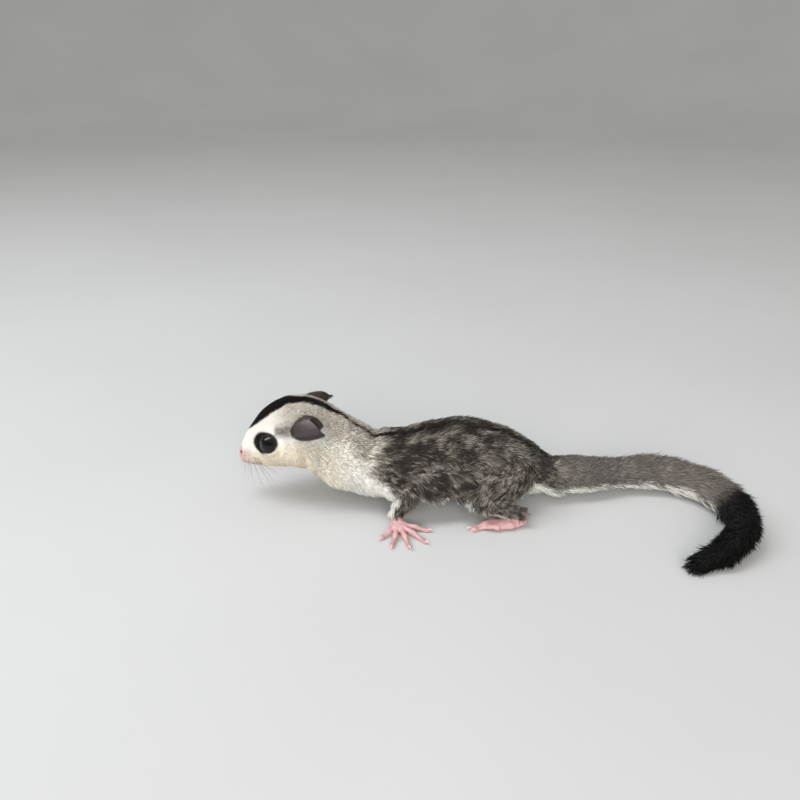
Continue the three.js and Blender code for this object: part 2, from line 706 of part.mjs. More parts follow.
// What belongs to the tail behind one place: its surface rises from the core as a lock does, so that
// the locks rooted in front of that place stay whole and lie over those rooted behind it
function tailBehind(place, grow) {
  const from = place - grow / TAIL_SPAN;
  const span = LOCK.length / TAIL_SPAN;
  const clear = 1.35;
  const rise = (along, share) => {
    const t = from + along * span;
    return { t, reach: THREE.MathUtils.lerp(tailCore(t), tailReach(t), share) + grow };
  };
  const rows = [rise(0, 0), rise(LOCK.bend, LOCK.shoulder), rise(1, 1), rise(1.3, clear)];
  const rest = 1 / TAIL_LENGTHS + span;
  for (let k = 1; k <= 5; k += 1) {
    const t = from + 1.3 * span + (rest * k) / 5;
    rows.push({ t, reach: clear * TAIL_REACH[2] });
  }
  return tailLoft(rows);
}

// A lock starts inside the core, rises to its shoulder and bends over to end at the reach of the coat
function tailLock(start, angle, draw) {
  const span = (LOCK.length * draw(0.95, 1.06)) / TAIL_SPAN;
  const stretch = draw(0.97, 1.03);
  const drift = draw(-0.1, 0.1);
  const size = tailReach(start) / TAIL_REACH[2];
  const rows = [
    { along: 0, rise: 0, wide: 0.6 },
    { along: LOCK.bend, rise: LOCK.shoulder, wide: draw(0.93, 1.03) },
  ];
  const pointAt = ({ along, rise }) => {
    const t = start + along * span;
    const coat = tailReach(t) * stretch - tailCore(t);
    const reach = rise === 0 ? tailCore(t) - LOCK.sunk * size : tailCore(t) + rise * coat;
    return tailPoint(t, angle + drift * along, reach);
  };
  const tip = pointAt({ along: 1, rise: 1 });
  const centers = [...rows.map(pointAt), tip];
  const outlines = rows.map((row, i) => {
    const ahead = centers[i + 1].clone().sub(centers[Math.max(i - 1, 0)]).normalize();
    const { across, up } = tailFrame(start + row.along * span);
    const side = across.multiplyScalar(-Math.sin(angle)).addScaledVector(up, Math.cos(angle));
    const flat = ahead.cross(side).normalize().multiplyScalar((LOCK.thick * Math.sqrt(size)) / 2);
    side.multiplyScalar((LOCK.wide * size * row.wide) / 2);
    return LOCK_OUTLINE.map(([s, f]) =>
      centers[i].clone().addScaledVector(side, s).addScaledVector(flat, f),
    );
  });
  return skinOver(outlines, tip);
}

// All the locks in staggered rings, with the places of their roots
function tailLocks() {
  const draw = seededDraw(LOCK_SEED);
  const rings = TAIL_LENGTHS * RINGS_A_LENGTH;
  const locks = [];
  for (let ring = 0; ring < rings; ring += 1) {
    for (let k = 0; k < LOCK.around; k += 1) {
      const root = (ring + 0.2) / rings + draw(0, 0.3) / TAIL_SPAN;
      const angle = (2 * Math.PI * (k + (ring % 2) / 2)) / LOCK.around + draw(-0.03, 0.03);
      locks.push({ root, solid: tailLock(root, angle, draw) });
    }
  }
  return locks;
}

function tailLength(index, locks) {
  const [from, to] = [index / TAIL_LENGTHS, (index + 1) / TAIL_LENGTHS];
  const solids = locks.filter(({ root }) => root >= from && root < to).map(({ solid }) => solid);
  let length = join([tailCoreLength(from, to), ...solids]);
  if (index > 0) length = length.intersect(tailBehind(from, -GAP / 2));
  if (index < TAIL_LENGTHS - 1) length = length.subtract(tailBehind(to, GAP / 2));
  return length;
}

// Assembly

const model = new THREE.Group();

function addNode(name, solid, material) {
  const mesh = new THREE.Mesh(toGeometry(largest(solid)), material);
  mesh.name = name;
  model.add(mesh);
}

const bodyRoom = bodyLength({ from: SECTIONS[0].x, to: SECTIONS.at(-1).x, steps: 44 }, GAP);
for (const part of BODY_PARTS) {
  const isHead = part.name === 'head';
  const loft = bodyLength({ ...part, from: part.from + (isHead ? 0 : GAP / 2), to: part.to - GAP / 2 });
  addNode(part.name, isHead ? head(loft) : loft, isHead ? PALE_FUR : FUR);
}
addNode('nose', nose(), BARE_SKIN);

for (const [side, word] of [[LEFT, 'left'], [RIGHT, 'right']]) {
  addNode(`eye_${word}`, eyeball(side), EYE);
  addNode(`ear_${word}`, cut(ear(side, side === RIGHT ? FAR_EAR_LIFT : 0), [bodyRoom]), EAR_SKIN);

  const pieces = [UPPER_ARM, FOREARM, THIGH, SHANK].map((stops) => stopsOn(stops, side));
  const [upperArm, forearm, thigh, shank] = pieces.map((stops) => limb(stops));
  const [upperArmRoom, forearmRoom, thighRoom, shankRoom] = pieces.map((stops) => limb(stops, { grow: GAP }));
  addNode(`upper_arm_${word}`, cut(upperArm, [bodyRoom]), FUR);
  addNode(`forearm_${word}`, cut(forearm, [bodyRoom, upperArmRoom]), FUR);
  addNode(`hand_${word}`, cut(hand(side).intersect(ABOVE_GROUND), [forearmRoom]), BARE_SKIN);
  addNode(`thigh_${word}`, cut(thigh, [bodyRoom]), FUR);
  addNode(`shank_${word}`, cut(shank, [bodyRoom, thighRoom]), FUR);
  addNode(`foot_${word}`, cut(foot(side).intersect(ABOVE_GROUND), [shankRoom, thighRoom]), BARE_SKIN);
  const rooms = [bodyRoom, upperArmRoom, forearmRoom, thighRoom, shankRoom];
  addNode(`membrane_${word}`, cut(membrane(side), rooms), PALE_FUR);
}

const locks = tailLocks();
const rumpRoom = bodyLength({ ...BODY_PARTS.at(-1) }, GAP);
for (let index = 0; index < TAIL_LENGTHS; index += 1) {
  const length = tailLength(index, locks).intersect(ABOVE_GROUND);
  addNode(`tail_${index + 1}`, index === 0 ? cut(length, [rumpRoom]) : length, FUR);
}

// The origin is under the middle of the whole animal, on the ground
const box = new THREE.Box3().setFromObject(model);
const group = new THREE.Group();
model.position.set(-(box.min.x + box.max.x) / 2, -(box.min.y + box.max.y) / 2, 0);
group.add(model);
export default group;
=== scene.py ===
# Looks of the young sugar glider: one skin over the flesh, eyes, ears, claws, whiskers and the coat.
# Sizes are in millimetres in the animal's own frame: x runs back from the tip of the nose, y to the
# right and z up from the ground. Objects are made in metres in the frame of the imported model.
import math

import bmesh
import bpy
import numpy as np
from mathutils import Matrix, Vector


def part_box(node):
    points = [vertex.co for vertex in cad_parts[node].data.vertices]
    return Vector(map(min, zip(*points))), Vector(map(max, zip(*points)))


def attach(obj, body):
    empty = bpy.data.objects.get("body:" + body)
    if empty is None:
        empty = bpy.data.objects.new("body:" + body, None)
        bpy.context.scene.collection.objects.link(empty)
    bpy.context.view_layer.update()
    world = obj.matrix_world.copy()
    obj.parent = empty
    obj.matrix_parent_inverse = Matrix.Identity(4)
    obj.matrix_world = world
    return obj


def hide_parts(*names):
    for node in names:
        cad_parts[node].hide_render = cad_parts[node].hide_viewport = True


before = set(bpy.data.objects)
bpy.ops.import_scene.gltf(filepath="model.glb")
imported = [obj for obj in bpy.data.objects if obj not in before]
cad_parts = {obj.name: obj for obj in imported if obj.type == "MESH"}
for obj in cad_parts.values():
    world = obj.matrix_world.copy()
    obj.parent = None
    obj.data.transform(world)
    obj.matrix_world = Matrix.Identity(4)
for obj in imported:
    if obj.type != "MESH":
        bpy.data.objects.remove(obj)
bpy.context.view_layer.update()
MM = 0.001

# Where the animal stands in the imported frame: the nose pad starts this far ahead of the nose tip
NOSE_PAD_FRONT = -0.1
NOSE_HEIGHT = 18.5
nose_low, nose_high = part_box("nose")
SHIFT = np.array([nose_low.x / MM - NOSE_PAD_FRONT, (nose_low.y + nose_high.y) / 2 / MM, 0.0])

LEFT, RIGHT = -1, 1
SIDES = (LEFT, RIGHT)
WORDS = {LEFT: "left", RIGHT: "right"}
SEEDS = {"coat": 11, "whiskers": 5, "ear_down": 31}
OUT_OF_REACH = 9.0  # distance that stands for any greater one


# Small helpers on arrays of points


def norm(v):
    return np.linalg.norm(v, axis=-1)


def unit(v):
    return v / np.maximum(norm(v)[..., None], 1e-9)


def ramp(x, low, high):
    """0 below low, 1 above high and smooth between; low may be the higher number."""
    t = np.clip((x - low) / (high - low), 0, 1)
    return t * t * (3 - 2 * t)


def mix(a, b, t):
    return a + (b - a) * t


def soft_min(a, b, k):
    h = np.clip(0.5 + 0.5 * (b - a) / k, 0, 1)
    return mix(b, a, h) - k * h * (1 - h)


def soft_max(a, b, k):
    return -soft_min(-a, -b, k)


def hermite(t, a, b, slope_a, slope_b, span=1):
    """From a to b as t runs from 0 to 1, with these slopes over the span."""
    t2, t3 = t * t, t * t * t
    start = (2 * t3 - 3 * t2 + 1) * a + (t3 - 2 * t2 + t) * span * slope_a
    return start + (3 * t2 - 2 * t3) * b + (t3 - t2) * span * slope_b


def smooth_table(rows):
    """A smooth curve without overshoot through rows of (x, values), as a function of x."""
    rows = np.asarray(rows, float)
    xs, ys = rows[:, 0], rows[:, 1:]
    secant = (ys[1:] - ys[:-1]) / (xs[1:] - xs[:-1])[:, None]
    slope = np.vstack([secant[:1], np.zeros_like(ys[1:-1]), secant[-1:]])
    before, after = secant[:-1], secant[1:]
    same_way = before * after > 0
    slope[1:-1] = np.where(same_way, 2 * before * after / np.where(same_way, before + after, 1), 0)

    def value(x):
        i = np.clip(np.searchsorted(xs, x) - 1, 0, len(xs) - 2)
        span = (xs[i + 1] - xs[i])[:, None]
        t = np.clip((x - xs[i])[:, None] / span, 0, 1)
        return hermite(t, ys[i], ys[i + 1], slope[i], slope[i + 1], span)

    return value


HASH_CELL = np.array([374761393, 668265263, 2147483647])
HASH_SEED, HASH_STIR, HASH_BITS, HASH_TOP = 974711, 1274126177, 0x7FFFFFFF, 0xFFFF


def value_noise(p, size, seed=0):
    """Smooth noise between 0 and 1, the same for the same points and seed."""
    q = p / size
    cell = np.floor(q).astype(np.int64)
    f = q - cell
    f = f * f * (3 - 2 * f)
    total = np.zeros(len(p))
    for corner in range(8):
        o = np.array([corner & 1, corner >> 1 & 1, corner >> 2 & 1])
        h = (cell + o) @ HASH_CELL + seed * HASH_SEED & HASH_BITS
        h = (h ^ (h >> 13)) * HASH_STIR & HASH_BITS
        h = (h ^ (h >> 16)) & HASH_TOP
        total += np.prod(np.where(o == 1, f, 1 - f), axis=1) * h / HASH_TOP
    return total


def noise_vector(p, size, seed):
    return np.column_stack([value_noise(p, size, seed + k) - 0.5 for k in range(3)])


def smooth_line(points, parts):
    """Centripetal curve through the points, as parts + 1 points for each of its spans."""
    p = np.asarray(points, float)
    p = np.vstack([2 * p[0] - p[1], p, 2 * p[-1] - p[-2]])
    line = []
    for i in range(1, len(p) - 2):
        p0, p1, p2, p3 = p[i - 1 : i + 3]
        d0, d1, d2 = (max(norm(b - a) ** 0.5, 1e-4) for a, b in ((p0, p1), (p1, p2), (p2, p3)))
        m1 = ((p1 - p0) / d0 - (p2 - p0) / (d0 + d1) + (p2 - p1) / d1) * d1
        m2 = ((p2 - p1) / d1 - (p3 - p1) / (d1 + d2) + (p3 - p2) / d2) * d1
        t = np.linspace(0, 1, parts + 1)[:, None][(0 if i == 1 else 1) :]
        line.append(hermite(t, p1, p2, m1, m2))
    return np.vstack(line)


# Body: the same cross-sections as the source, with the depth of the coat over the skin.
# Columns: x, z from the height of the nose tip, half height, half width, lean, power, pear, coat depth.
SECTIONS = [
    (0.7, -0.3, 2.7, 2.0, 6, 2.3, 0.0, 0.1),
    (2.05, 0.75, 4.3, 3.4, 6, 2.3, 0.1, 0.16),
    (4.7, 1.95, 6.8, 4.85, 13, 2.15, 0.14, 0.3),
    (7.55, 3.9, 9.1, 6.4, 10.5, 2.1, 0.12, 0.5),
    (11, 6.1, 11.3, 8.6, 9, 2.1, 0.12, 0.75),
    (15, 7.95, 12.75, 10.6, 6, 2.15, 0.1, 1.0),
    (19.5, 9.05, 13.5, 12.3, 4, 2.2, 0.06, 1.25),
    (23.5, 9.1, 13.65, 13.2, 2, 2.2, 0.04, 1.4),
    (27.5, 7.8, 14.15, 13.1, -2, 2.15, 0.02, 1.6),
    (31, 5.8, 14.4, 12.6, -5, 2.1, 0.0, 1.8),
    (35.5, 2.6, 14.6, 12.6, -8, 2.1, 0.02, 2.2),
    (42, -0.6, 13.4, 13.5, -6, 2.1, 0.04, 2.5),
    (49, -2.9, 11.9, 14.4, -2, 2.15, 0.05, 2.6),
    (58, -3.2, 11.9, 15.2, 2, 2.2, 0.06, 2.7),
    (70, -1.9, 13.1, 16.2, 3, 2.2, 0.08, 2.8),
    (82, -1.0, 14.0, 16.6, 0, 2.2, 0.08, 2.8),
    (94, -2.2, 12.8, 15.6, -8, 2.15, 0.06, 2.8),
    (104, -4.7, 10.1, 12.6, -16, 2.1, 0.03, 2.5),
    (112, -7.5, 7.3, 9.0, -19, 2.05, 0.0, 2.2),
    (118, -9.7, 6.2, 6.6, -17, 2.0, 0.0, 1.8),
]
body_at = smooth_table(SECTIONS)
BODY_START, BODY_END = SECTIONS[0][0], SECTIONS[-1][0]
BODY_REACH = 24  # farthest height over the middle at which a section counts


def body_place(p):
    """Section x, height over the middle of the section, and the section's values at each point."""
    s = p[:, 0].copy()
    for _ in range(6):
        v = body_at(s)
        lean = np.radians(v[:, 3])
        h = np.clip((p[:, 2] - NOSE_HEIGHT - v[:, 0]) / np.cos(lean), -BODY_REACH, BODY_REACH)
        s = p[:, 0] + h * np.sin(lean)
    return s, h, body_at(s)


def body_distance(p):
    s, h, v = body_place(p)
    high, wide, power, pear, coat = v[:, 1], v[:, 2], v[:, 4], v[:, 5], v[:, 6]
    width = wide * (1 - pear * np.clip(h / high, -1, 1))
    share = (np.abs(p[:, 1] / width) ** power + np.abs(h / high) ** power) ** (1 / power)
    out = np.hypot(p[:, 1], h)
    side = out * (1 - 1 / np.maximum(share, 1e-3)) + coat
    side = soft_max(side, BODY_START - s, 1.6)
    return soft_max(side, s - BODY_END, 1.0)


# Limbs: (place, radius of the coat) stops of each piece and the depth of the coat at its ends
LIMBS = {
    "upper_arm": ([(50, 9.0, 15.4, 6.8), (56.5, 14.2, 14.0, 5.9), (61.8, 17.6, 11.8, 4.6)], 2.4, 1.5),
    "forearm": ([(62.0, 17.9, 11.4, 4.3), (60.4, 19.0, 8.0, 3.5), (58.6, 20.0, 4.9, 2.6)], 1.5, 0.55),
    "thigh": ([(101, 7.5, 14.0, 9.0), (95, 14.0, 13.4, 8.2), (88.8, 19.0, 11.4, 5.7)], 2.6, 2.0),
    "shank": ([(89.2, 19.6, 10.6, 5.1), (96.0, 20.6, 7.6, 4.1), (103.0, 20.4, 4.6, 2.9)], 2.0, 0.8),
}
WRIST, ANKLE = (58.4, 20.2, 4.3), (103.6, 20.4, 4.0)
PALM = {"center": (59.2, 23.6, 1.65), "half": (3.5, 3.2, 1.75)}
SOLE = {"center": (98.2, 21.6, 1.6), "half": (7.4, 2.9, 1.75), "turn": 166}
SOLE_WAY = -76
HAND_TURN = {LEFT: 14, RIGHT: -26}
# Radius of hand and foot at wrist and ankle and at their far end, and how far they reach into the sole
HAND_ROOT, FOOT_ROOT, PAW_END, PAW_REACH = 1.95, 2.1, 1.5, 0.8
# Angle of each digit from straight out, positive to the tail, with its length and thickness
HAND_DIGITS = [(-58, 6.6, 0.92), (-26, 9.0, 0.98), (4, 10.0, 1.0), (34, 10.6, 1.0), (68, 8.6, 0.96)]
FINGER_ROOT, TOE_ROOT = 2.0, 5.0
# Angle, place across the sole, place back from the other toes, length, thickness
FOOT_DIGITS = [
    (-104, 2.3, 0, 6.4, 0.9),
    (-95, 0.9, 0, 6.8, 0.88),
    (-78, -0.9, 0, 8.6, 1.0),
    (-58, -2.3, 0, 8.0, 1.0),
    (-142, 2.4, 5.2, 5.6, 1.08),
]
DIGIT_PLACES = (0, 0.22, 0.45, 0.6, 0.8, 0.93, 1.0)
DIGIT_HEIGHTS = (1.9, 2.05, 1.85, 1.45, 0.95, 0.8, 0.72)
DIGIT_RADII = (1.1, 0.82, 0.98, 0.72, 0.66, 0.86, 0.66)
PAWS = ("hand", "foot", "hand_digit", "foot_digit")
DIGITS = ("hand_digit", "foot_digit")

# Gliding membrane: from the elbow to the knee
MEMBRANE = {"span": (57, 96), "hang": 7.4, "thick": 2.0, "edge": 1.5, "ripples": 3.5, "wave": 1.0}
MEMBRANE_WAY = (0.75, 0.25, -0.6)  # how its hair lies

# Tail: its middle line, the reach of the coat at even steps, and the flesh inside
TAIL_LINE = [
    (116.6, 0), (127, 0.8), (141, 3.2), (157, 3.2), (170.5, -3.8),
    (177.6, -15.5), (177.4, -29), (169.5, -40), (159, -46),
]
TAIL_REACH = (6.4, 7.3, 7.8, 7.8, 7.5, 7.0, 6.4, 5.3, 2.8)
TAIL_STEPS = 150
TAIL_ROOT_HEIGHT = 9.25
TAIL_ROOT_SPAN = 0.26
TAIL_PRESS = 0.12
TAIL_CORE = (0.8, 0.42)  # share of the reach at the root and along the rest
TAIL_TIP = 0.8


def heading(degrees, side):
    a = math.radians(degrees)
    return np.array([math.sin(a), side * math.cos(a), 0.0])


def on_side(place, side=RIGHT):
    return np.array([place[0], side * place[1], place[2]])


def away_from(p, place, side=RIGHT, scale=1.0):
    """Distance of points from a place on one side, each axis weighed by the scale."""
    return norm((p - on_side(place, side)) * scale)


class Chain:
    """A row of overlapping balls along a line: a limb, a digit or the tail."""

    def __init__(self, kind, side, points, radii):
        self.kind, self.side = kind, side
        self.points, self.radii = points, radii
        self.along = unit(np.gradient(points, axis=0))
        self.low = (points - radii[:, None]).min(0)
        self.high = (points + radii[:, None]).max(0)

    def distance(self, p):
        """Distance from the chain and the number of the nearest ball."""
        out, index = np.full(len(p), OUT_OF_REACH), np.zeros(len(p), int)
        near = np.all((p > self.low - 3) & (p < self.high + 3), axis=1)
        if near.any():
            q = p[near]
            best, where = np.full(len(q), 99.0), np.zeros(len(q), int)
            for i, (c, r) in enumerate(zip(self.points, self.radii)):
                d = np.sqrt(((q - c) ** 2).sum(1)) - r
                closer = d < best
                best[closer], where[closer] = d[closer], i
            out[near], index[near] = best, where
        return out, index


def limb_chain(kind, side):
    stops, coat_start, coat_end = LIMBS[kind]
    line = smooth_line([on_side(stop[:3], side) for stop in stops], 14)
    t = np.linspace(0, len(stops) - 1, len(line))
    i = np.minimum(t.astype(int), len(stops) - 2)
    radius = np.array([stop[3] for stop in stops])
    radii = mix(radius[i], radius[i + 1], ramp(t - i, 0, 1))
    return Chain(kind, side, line, radii - np.linspace(coat_start, coat_end, len(line)))


def digit_chain(kind, side, root, direction, length, thick):
    line = root + (np.array(DIGIT_PLACES) * length)[:, None] * direction
    line[:, 2] = DIGIT_HEIGHTS
    fine = smooth_line(line, 7)
    radii = np.interp(np.linspace(0, len(line) - 1, len(fine)), range(len(line)), DIGIT_RADII)
    return Chain(kind, side, fine, radii * thick)


def tail_chain():
    """The flesh of the tail, at even parts of its length."""
    fine = smooth_line([(x, y, 0) for x, y in TAIL_LINE], 40)
    run = np.concatenate([[0], np.cumsum(norm(np.diff(fine, axis=0)))])
    t = np.linspace(0, 1, TAIL_STEPS)
    line = np.column_stack([np.interp(t * run[-1], run, fine[:, k]) for k in range(3)])
    reach = np.interp(t, np.linspace(0, 1, len(TAIL_REACH)), TAIL_REACH)
    landed = ramp(t, 0, TAIL_ROOT_SPAN)
    line[:, 2] = mix(TAIL_ROOT_HEIGHT, reach - TAIL_PRESS, landed)
    core = reach * mix(*TAIL_CORE, landed)
    core[-1] *= TAIL_TIP
    return Chain("tail", 0, line, core)


def make_chains():
    made = [tail_chain()]
    for side in SIDES:
        made += [limb_chain(kind, side) for kind in LIMBS]
        palm, sole = on_side(PALM["center"], side), on_side(SOLE["center"], side)
        for kind, root, end, thick in (("hand", WRIST, palm, HAND_ROOT), ("foot", ANKLE, sole, FOOT_ROOT)):
            line = mix(on_side(root, side), end, np.linspace(0, PAW_REACH, 12)[:, None])
            made.append(Chain(kind, side, line, np.linspace(thick, PAW_END, 12)))
        for angle, length, thick in HAND_DIGITS:
            way = heading(angle + HAND_TURN[side], side)
            made.append(digit_chain("hand_digit", side, palm + FINGER_ROOT * way, way, length, thick))
        ahead = heading(SOLE_WAY, side)
        outward = np.array([-ahead[1] * side, ahead[0] * side, 0])
        for angle, aside, back, length, thick in FOOT_DIGITS:
            root = sole + ahead * (TOE_ROOT - back) - outward * aside
            made.append(digit_chain("foot_digit", side, root, heading(angle, side), length, thick))
    return made


chains = make_chains()


def form_distance(p, form, side=RIGHT):
    """Distance near the surface of an ellipsoid that is turned about the upright axis."""
    turn = math.radians(side * form.get("turn", 0))
    c, s = math.cos(turn), math.sin(turn)
    q = p - on_side(form["center"], side)
    q = np.column_stack([c * q[:, 0] + s * q[:, 1], -s * q[:, 0] + c * q[:, 1], q[:, 2]])
    k = norm(q / form["half"])
    g = norm(q / np.square(form["half"]))
    return k * (k - 1) / np.maximum(g, 1e-6)


def membrane_distance(p, side):
    """The fold hangs from the flank: its sheet is a wave that leaves the body outward and down."""
    start, end = MEMBRANE["span"]
    out = np.full(len(p), OUT_OF_REACH)
    near = (p[:, 0] > start - 2) & (p[:, 0] < end + 2) & (side * p[:, 1] > 8) & (p[:, 2] < 21)
    if not near.any():
        return out
    x, y, z = p[near].T
    along = np.clip((x - start) / (end - start), 0, 1)
    v = body_at(x)
    root_y, root_z = v[:, 2] - 1.2, NOSE_HEIGHT + v[:, 0] + 0.05 * v[:, 1]
    ripple = np.sin(2 * np.pi * MEMBRANE["ripples"] * along)
    drop = np.maximum(MEMBRANE["hang"] * np.sin(np.pi * along) ** 0.35 * (1 + 0.12 * ripple), 0.5)
    down = (root_z - z) / drop
    inside = np.clip(down, 0, 1)
    sheet_y = root_y + 2.6 * np.sin(inside * 1.9) + MEMBRANE["wave"] * ripple * inside
    beyond = (down - inside) * drop
    ends = np.maximum(np.abs(x - (start + end) / 2) - (end - start) / 2, 0)
    d = np.sqrt((0.9 * (side * y - sheet_y)) ** 2 + beyond**2 + ends**2)
    out[near] = d - mix(MEMBRANE["thick"], MEMBRANE["edge"], inside) / 2
    return out


# Face, as in the source but with the softer forms of skin
EYE_RADIUS = 4.3
EYE_CENTER = (13.5, 7.3, NOSE_HEIGHT + 7.6)
EYE_AXIS = (-0.46, 0.82, 0.35)
EYE_GRID, LID_GRID = (49, 72), (120, 14)
EYE_POLE = 0.012  # half angle of the cap at each end of the eyeball
CORNEA = 0.12
PUPIL_COLOUR, IRIS_COLOUR = (0.002, 0.002, 0.003), (0.012, 0.006, 0.004)
LID_OPENING = 47
LID_HEIGHT = 0.2
LID_ROLL = 0.18
LID_ROLL_OUT = 0.08
SOCKET_DEPTH = 0.7
NOSE_PAD = {"center": (1.5, 0, NOSE_HEIGHT + 0.7), "half": (1.6, 2.0, 1.95)}
UPPER_LIP = {"center": (1.5, 0, NOSE_HEIGHT - 1.2), "half": (1.62, 2.0, 1.5)}
NOSTRIL = {"center": (1.45, 1.75, NOSE_HEIGHT + 1.15), "half": (1.15, 0.6, 0.42), "turn": -30}
WHISKER_PAD = {"center": (4.0, 2.9, NOSE_HEIGHT - 0.2), "half": (2.6, 1.6, 1.7), "turn": 34}
CHIN = {"center": (3.0, 0, NOSE_HEIGHT - 2.9), "half": (2.1, 1.6, 1.2)}
# Forms that swell the muzzle, the sides they are on and how softly each one joins
MUZZLE_FORMS = (
    (WHISKER_PAD, SIDES, 1.2),
    (CHIN, (RIGHT,), 0.8),
    (UPPER_LIP, (RIGHT,), 0.6),
    (NOSE_PAD, (RIGHT,), 0.35),
)
MOUTH_PLACES = [(6.2, -43), (4.2, -45), (2.3, -51), (1.2, -66)]  # section x and angle below level
LIP_RADIUS = 0.42
MOUTH_GROOVE = {"depth": 0.36, "width": 0.38}
# How softly each part joins the skin, in millimetres
SOFT = {
    "limb": 1.6, "digit": 0.55, "paw": 0.8, "membrane": 1.2, "trunk": 1.8, "ground": 0.25,
    "lip": 1.0, "nostril": 0.2, "lid": 0.9, "socket": 0.15,
}
CLEFT = {"depth": 0.22, "half": (0.22, 1.1), "x": 0.05}


def eye_frame(side):
    axis = unit(on_side(EYE_AXIS, side))
    ahead = unit(np.cross((0, 0, 1), axis) * side)
    return on_side(EYE_CENTER, side), axis, ahead, np.cross(axis, ahead) * side


def lid_rim(turn):
    """Half the lids' opening, in degrees, wider ahead and behind than above and below."""
    return LID_OPENING + 4.5 * np.cos(2 * turn) - 2.5 * np.sin(turn)


def eye_polar(p, side):
    """Distance from the middle of the eyeball, angle from its axis, the lids' rim there and the turn."""
    center, axis, ahead, up = eye_frame(side)
    q = p - center
    away = norm(q)
    angle = np.degrees(np.arccos(np.clip(q @ axis / np.maximum(away, 1e-6), -1, 1)))
    turn = np.arctan2(q @ up, q @ ahead)
    return away, angle, lid_rim(turn), turn


def body_surface_point(x, angle):
    v = body_at(np.array([float(x)]))[0]
    c, s = math.cos(math.radians(angle)), math.sin(math.radians(angle))
    bend = 2 / v[4]
    rise = math.copysign(abs(s) ** bend, s)
    lean = math.radians(v[3])
    y = math.copysign(abs(c) ** bend, c) * (v[2] - v[6]) * (1 - v[5] * rise)
    height = rise * (v[1] - v[6])
    return np.array([x - height * math.sin(lean), y, NOSE_HEIGHT + v[0] + height * math.cos(lean)])


def mouth_line():
    half = [body_surface_point(x, 180 - fall) for x, fall in MOUTH_PLACES]
    middle = body_surface_point(0.8, -90) + np.array([0.05, 0, 0.4])
    other = [point * (1, -1, 1) for point in half[::-1]]
    return smooth_line([*half, middle, *other], 14)


MOUTH = mouth_line()


def mouth_distance(p):
    best = np.full(len(p), 99.0)
    for a, b in zip(MOUTH[:-1], MOUTH[1:]):
        t = np.clip((p - a) @ (b - a) / max(np.dot(b - a, b - a), 1e-9), 0, 1)[:, None]
        best = np.minimum(best, norm(p - mix(a, b, t)))
    return best


def add_muzzle(p, f):
    """Whisker pads, chin, lips and nose pad, with the mouth, cleft and nostrils cut in."""
    for form, sides, softness in MUZZLE_FORMS:
        for side in sides:
            f = soft_min(f, form_distance(p, form, side), softness)
    from_mouth = mouth_distance(p)
    f = soft_min(f, from_mouth - LIP_RADIUS, SOFT["lip"])
    f = f + MOUTH_GROOVE["depth"] * np.exp(-((from_mouth / MOUTH_GROOVE["width"]) ** 2))
    cleft = np.hypot(p[:, 1] / CLEFT["half"][0], (p[:, 0] - CLEFT["x"]) / CLEFT["half"][1])
    f = f + CLEFT["depth"] * np.exp(-(cleft**2)) * ramp(p[:, 2], NOSE_HEIGHT + 1.2, NOSE_HEIGHT - 0.3)
    for side in SIDES:
        f = soft_max(f, -form_distance(p, NOSTRIL, side), SOFT["nostril"])
    return f


def add_eyes(p, f):
    """Lids that swell over the eyeballs, and the sockets between them."""
    for side in SIDES:
        away, angle, rim, turn = eye_polar(p, side)
        f = soft_min(f, away - EYE_RADIUS - LID_HEIGHT * (1 + 0.2 * np.sin(turn)), SOFT["lid"])
        inside_rim = np.radians(rim - angle) * away
        socket = np.minimum(np.minimum(inside_rim, EYE_RADIUS + 4 - away), away - EYE_RADIUS + SOCKET_DEPTH)
        f = soft_max(f, socket, SOFT["socket"])
    return f


def skin_distance(p):
    """Signed distance from the skin, negative inside the animal."""
    f = body_distance(p)
    f[(p[:, 0] < -6) | (p[:, 0] > BODY_END + 8)] = OUT_OF_REACH
    limbs = np.full(len(p), OUT_OF_REACH)
    for chain in chains:
        softness = SOFT["limb" if chain.kind in LIMBS or chain.kind == "tail" else "digit"]
        d, _ = chain.distance(p)
        close = d < 6
        limbs[close] = soft_min(limbs[close], d[close], softness)
    for side in SIDES:
        for form in (PALM, SOLE):
            limbs = soft_min(limbs, form_distance(p, form, side), SOFT["paw"])
        f = soft_min(f, membrane_distance(p, side), SOFT["membrane"])
    f = soft_min(f, limbs, SOFT["trunk"])
    head = (p[:, 0] < 27) & (p[:, 2] > 8)
    for near, add in ((head & (p[:, 0] < 11), add_muzzle), (head, add_eyes)):
        if near.any():
            f[near] = add(p[near], f[near])
    return soft_max(f, -p[:, 2], SOFT["ground"])


# Skin mesh: a net of quads on a grid, made finer on the face, hands and feet, and drawn to the surface
SKIN_BOX = ((-3, -56, -1.5), (186, 37, 43))
SKIN_STEP = 0.75
NET_CHUNK = 400000
SLOPE_STEP, LONGEST_MOVE = 0.03, 0.4
UNIT_STEPS = np.eye(3, dtype=int)


def edge_crossings(cells, values):
    """Sum and number of the places where the skin crosses the edges of each cell."""
    total, hits = np.zeros((len(cells), 3)), np.zeros(len(cells))
    for axis in range(3):
        for i, j in np.ndindex(2, 2):
            a = cells + np.insert((i, j), axis, 0)
            va, vb = values[tuple(a.T)], values[tuple((a + UNIT_STEPS[axis]).T)]
            cross = (va < 0) != (vb < 0)
            t = np.where(cross, va / np.where(cross, va - vb, 1), 0)
            total[cross] += (a + t[:, None] * UNIT_STEPS[axis])[cross]
            hits[cross] += 1
    return total, hits


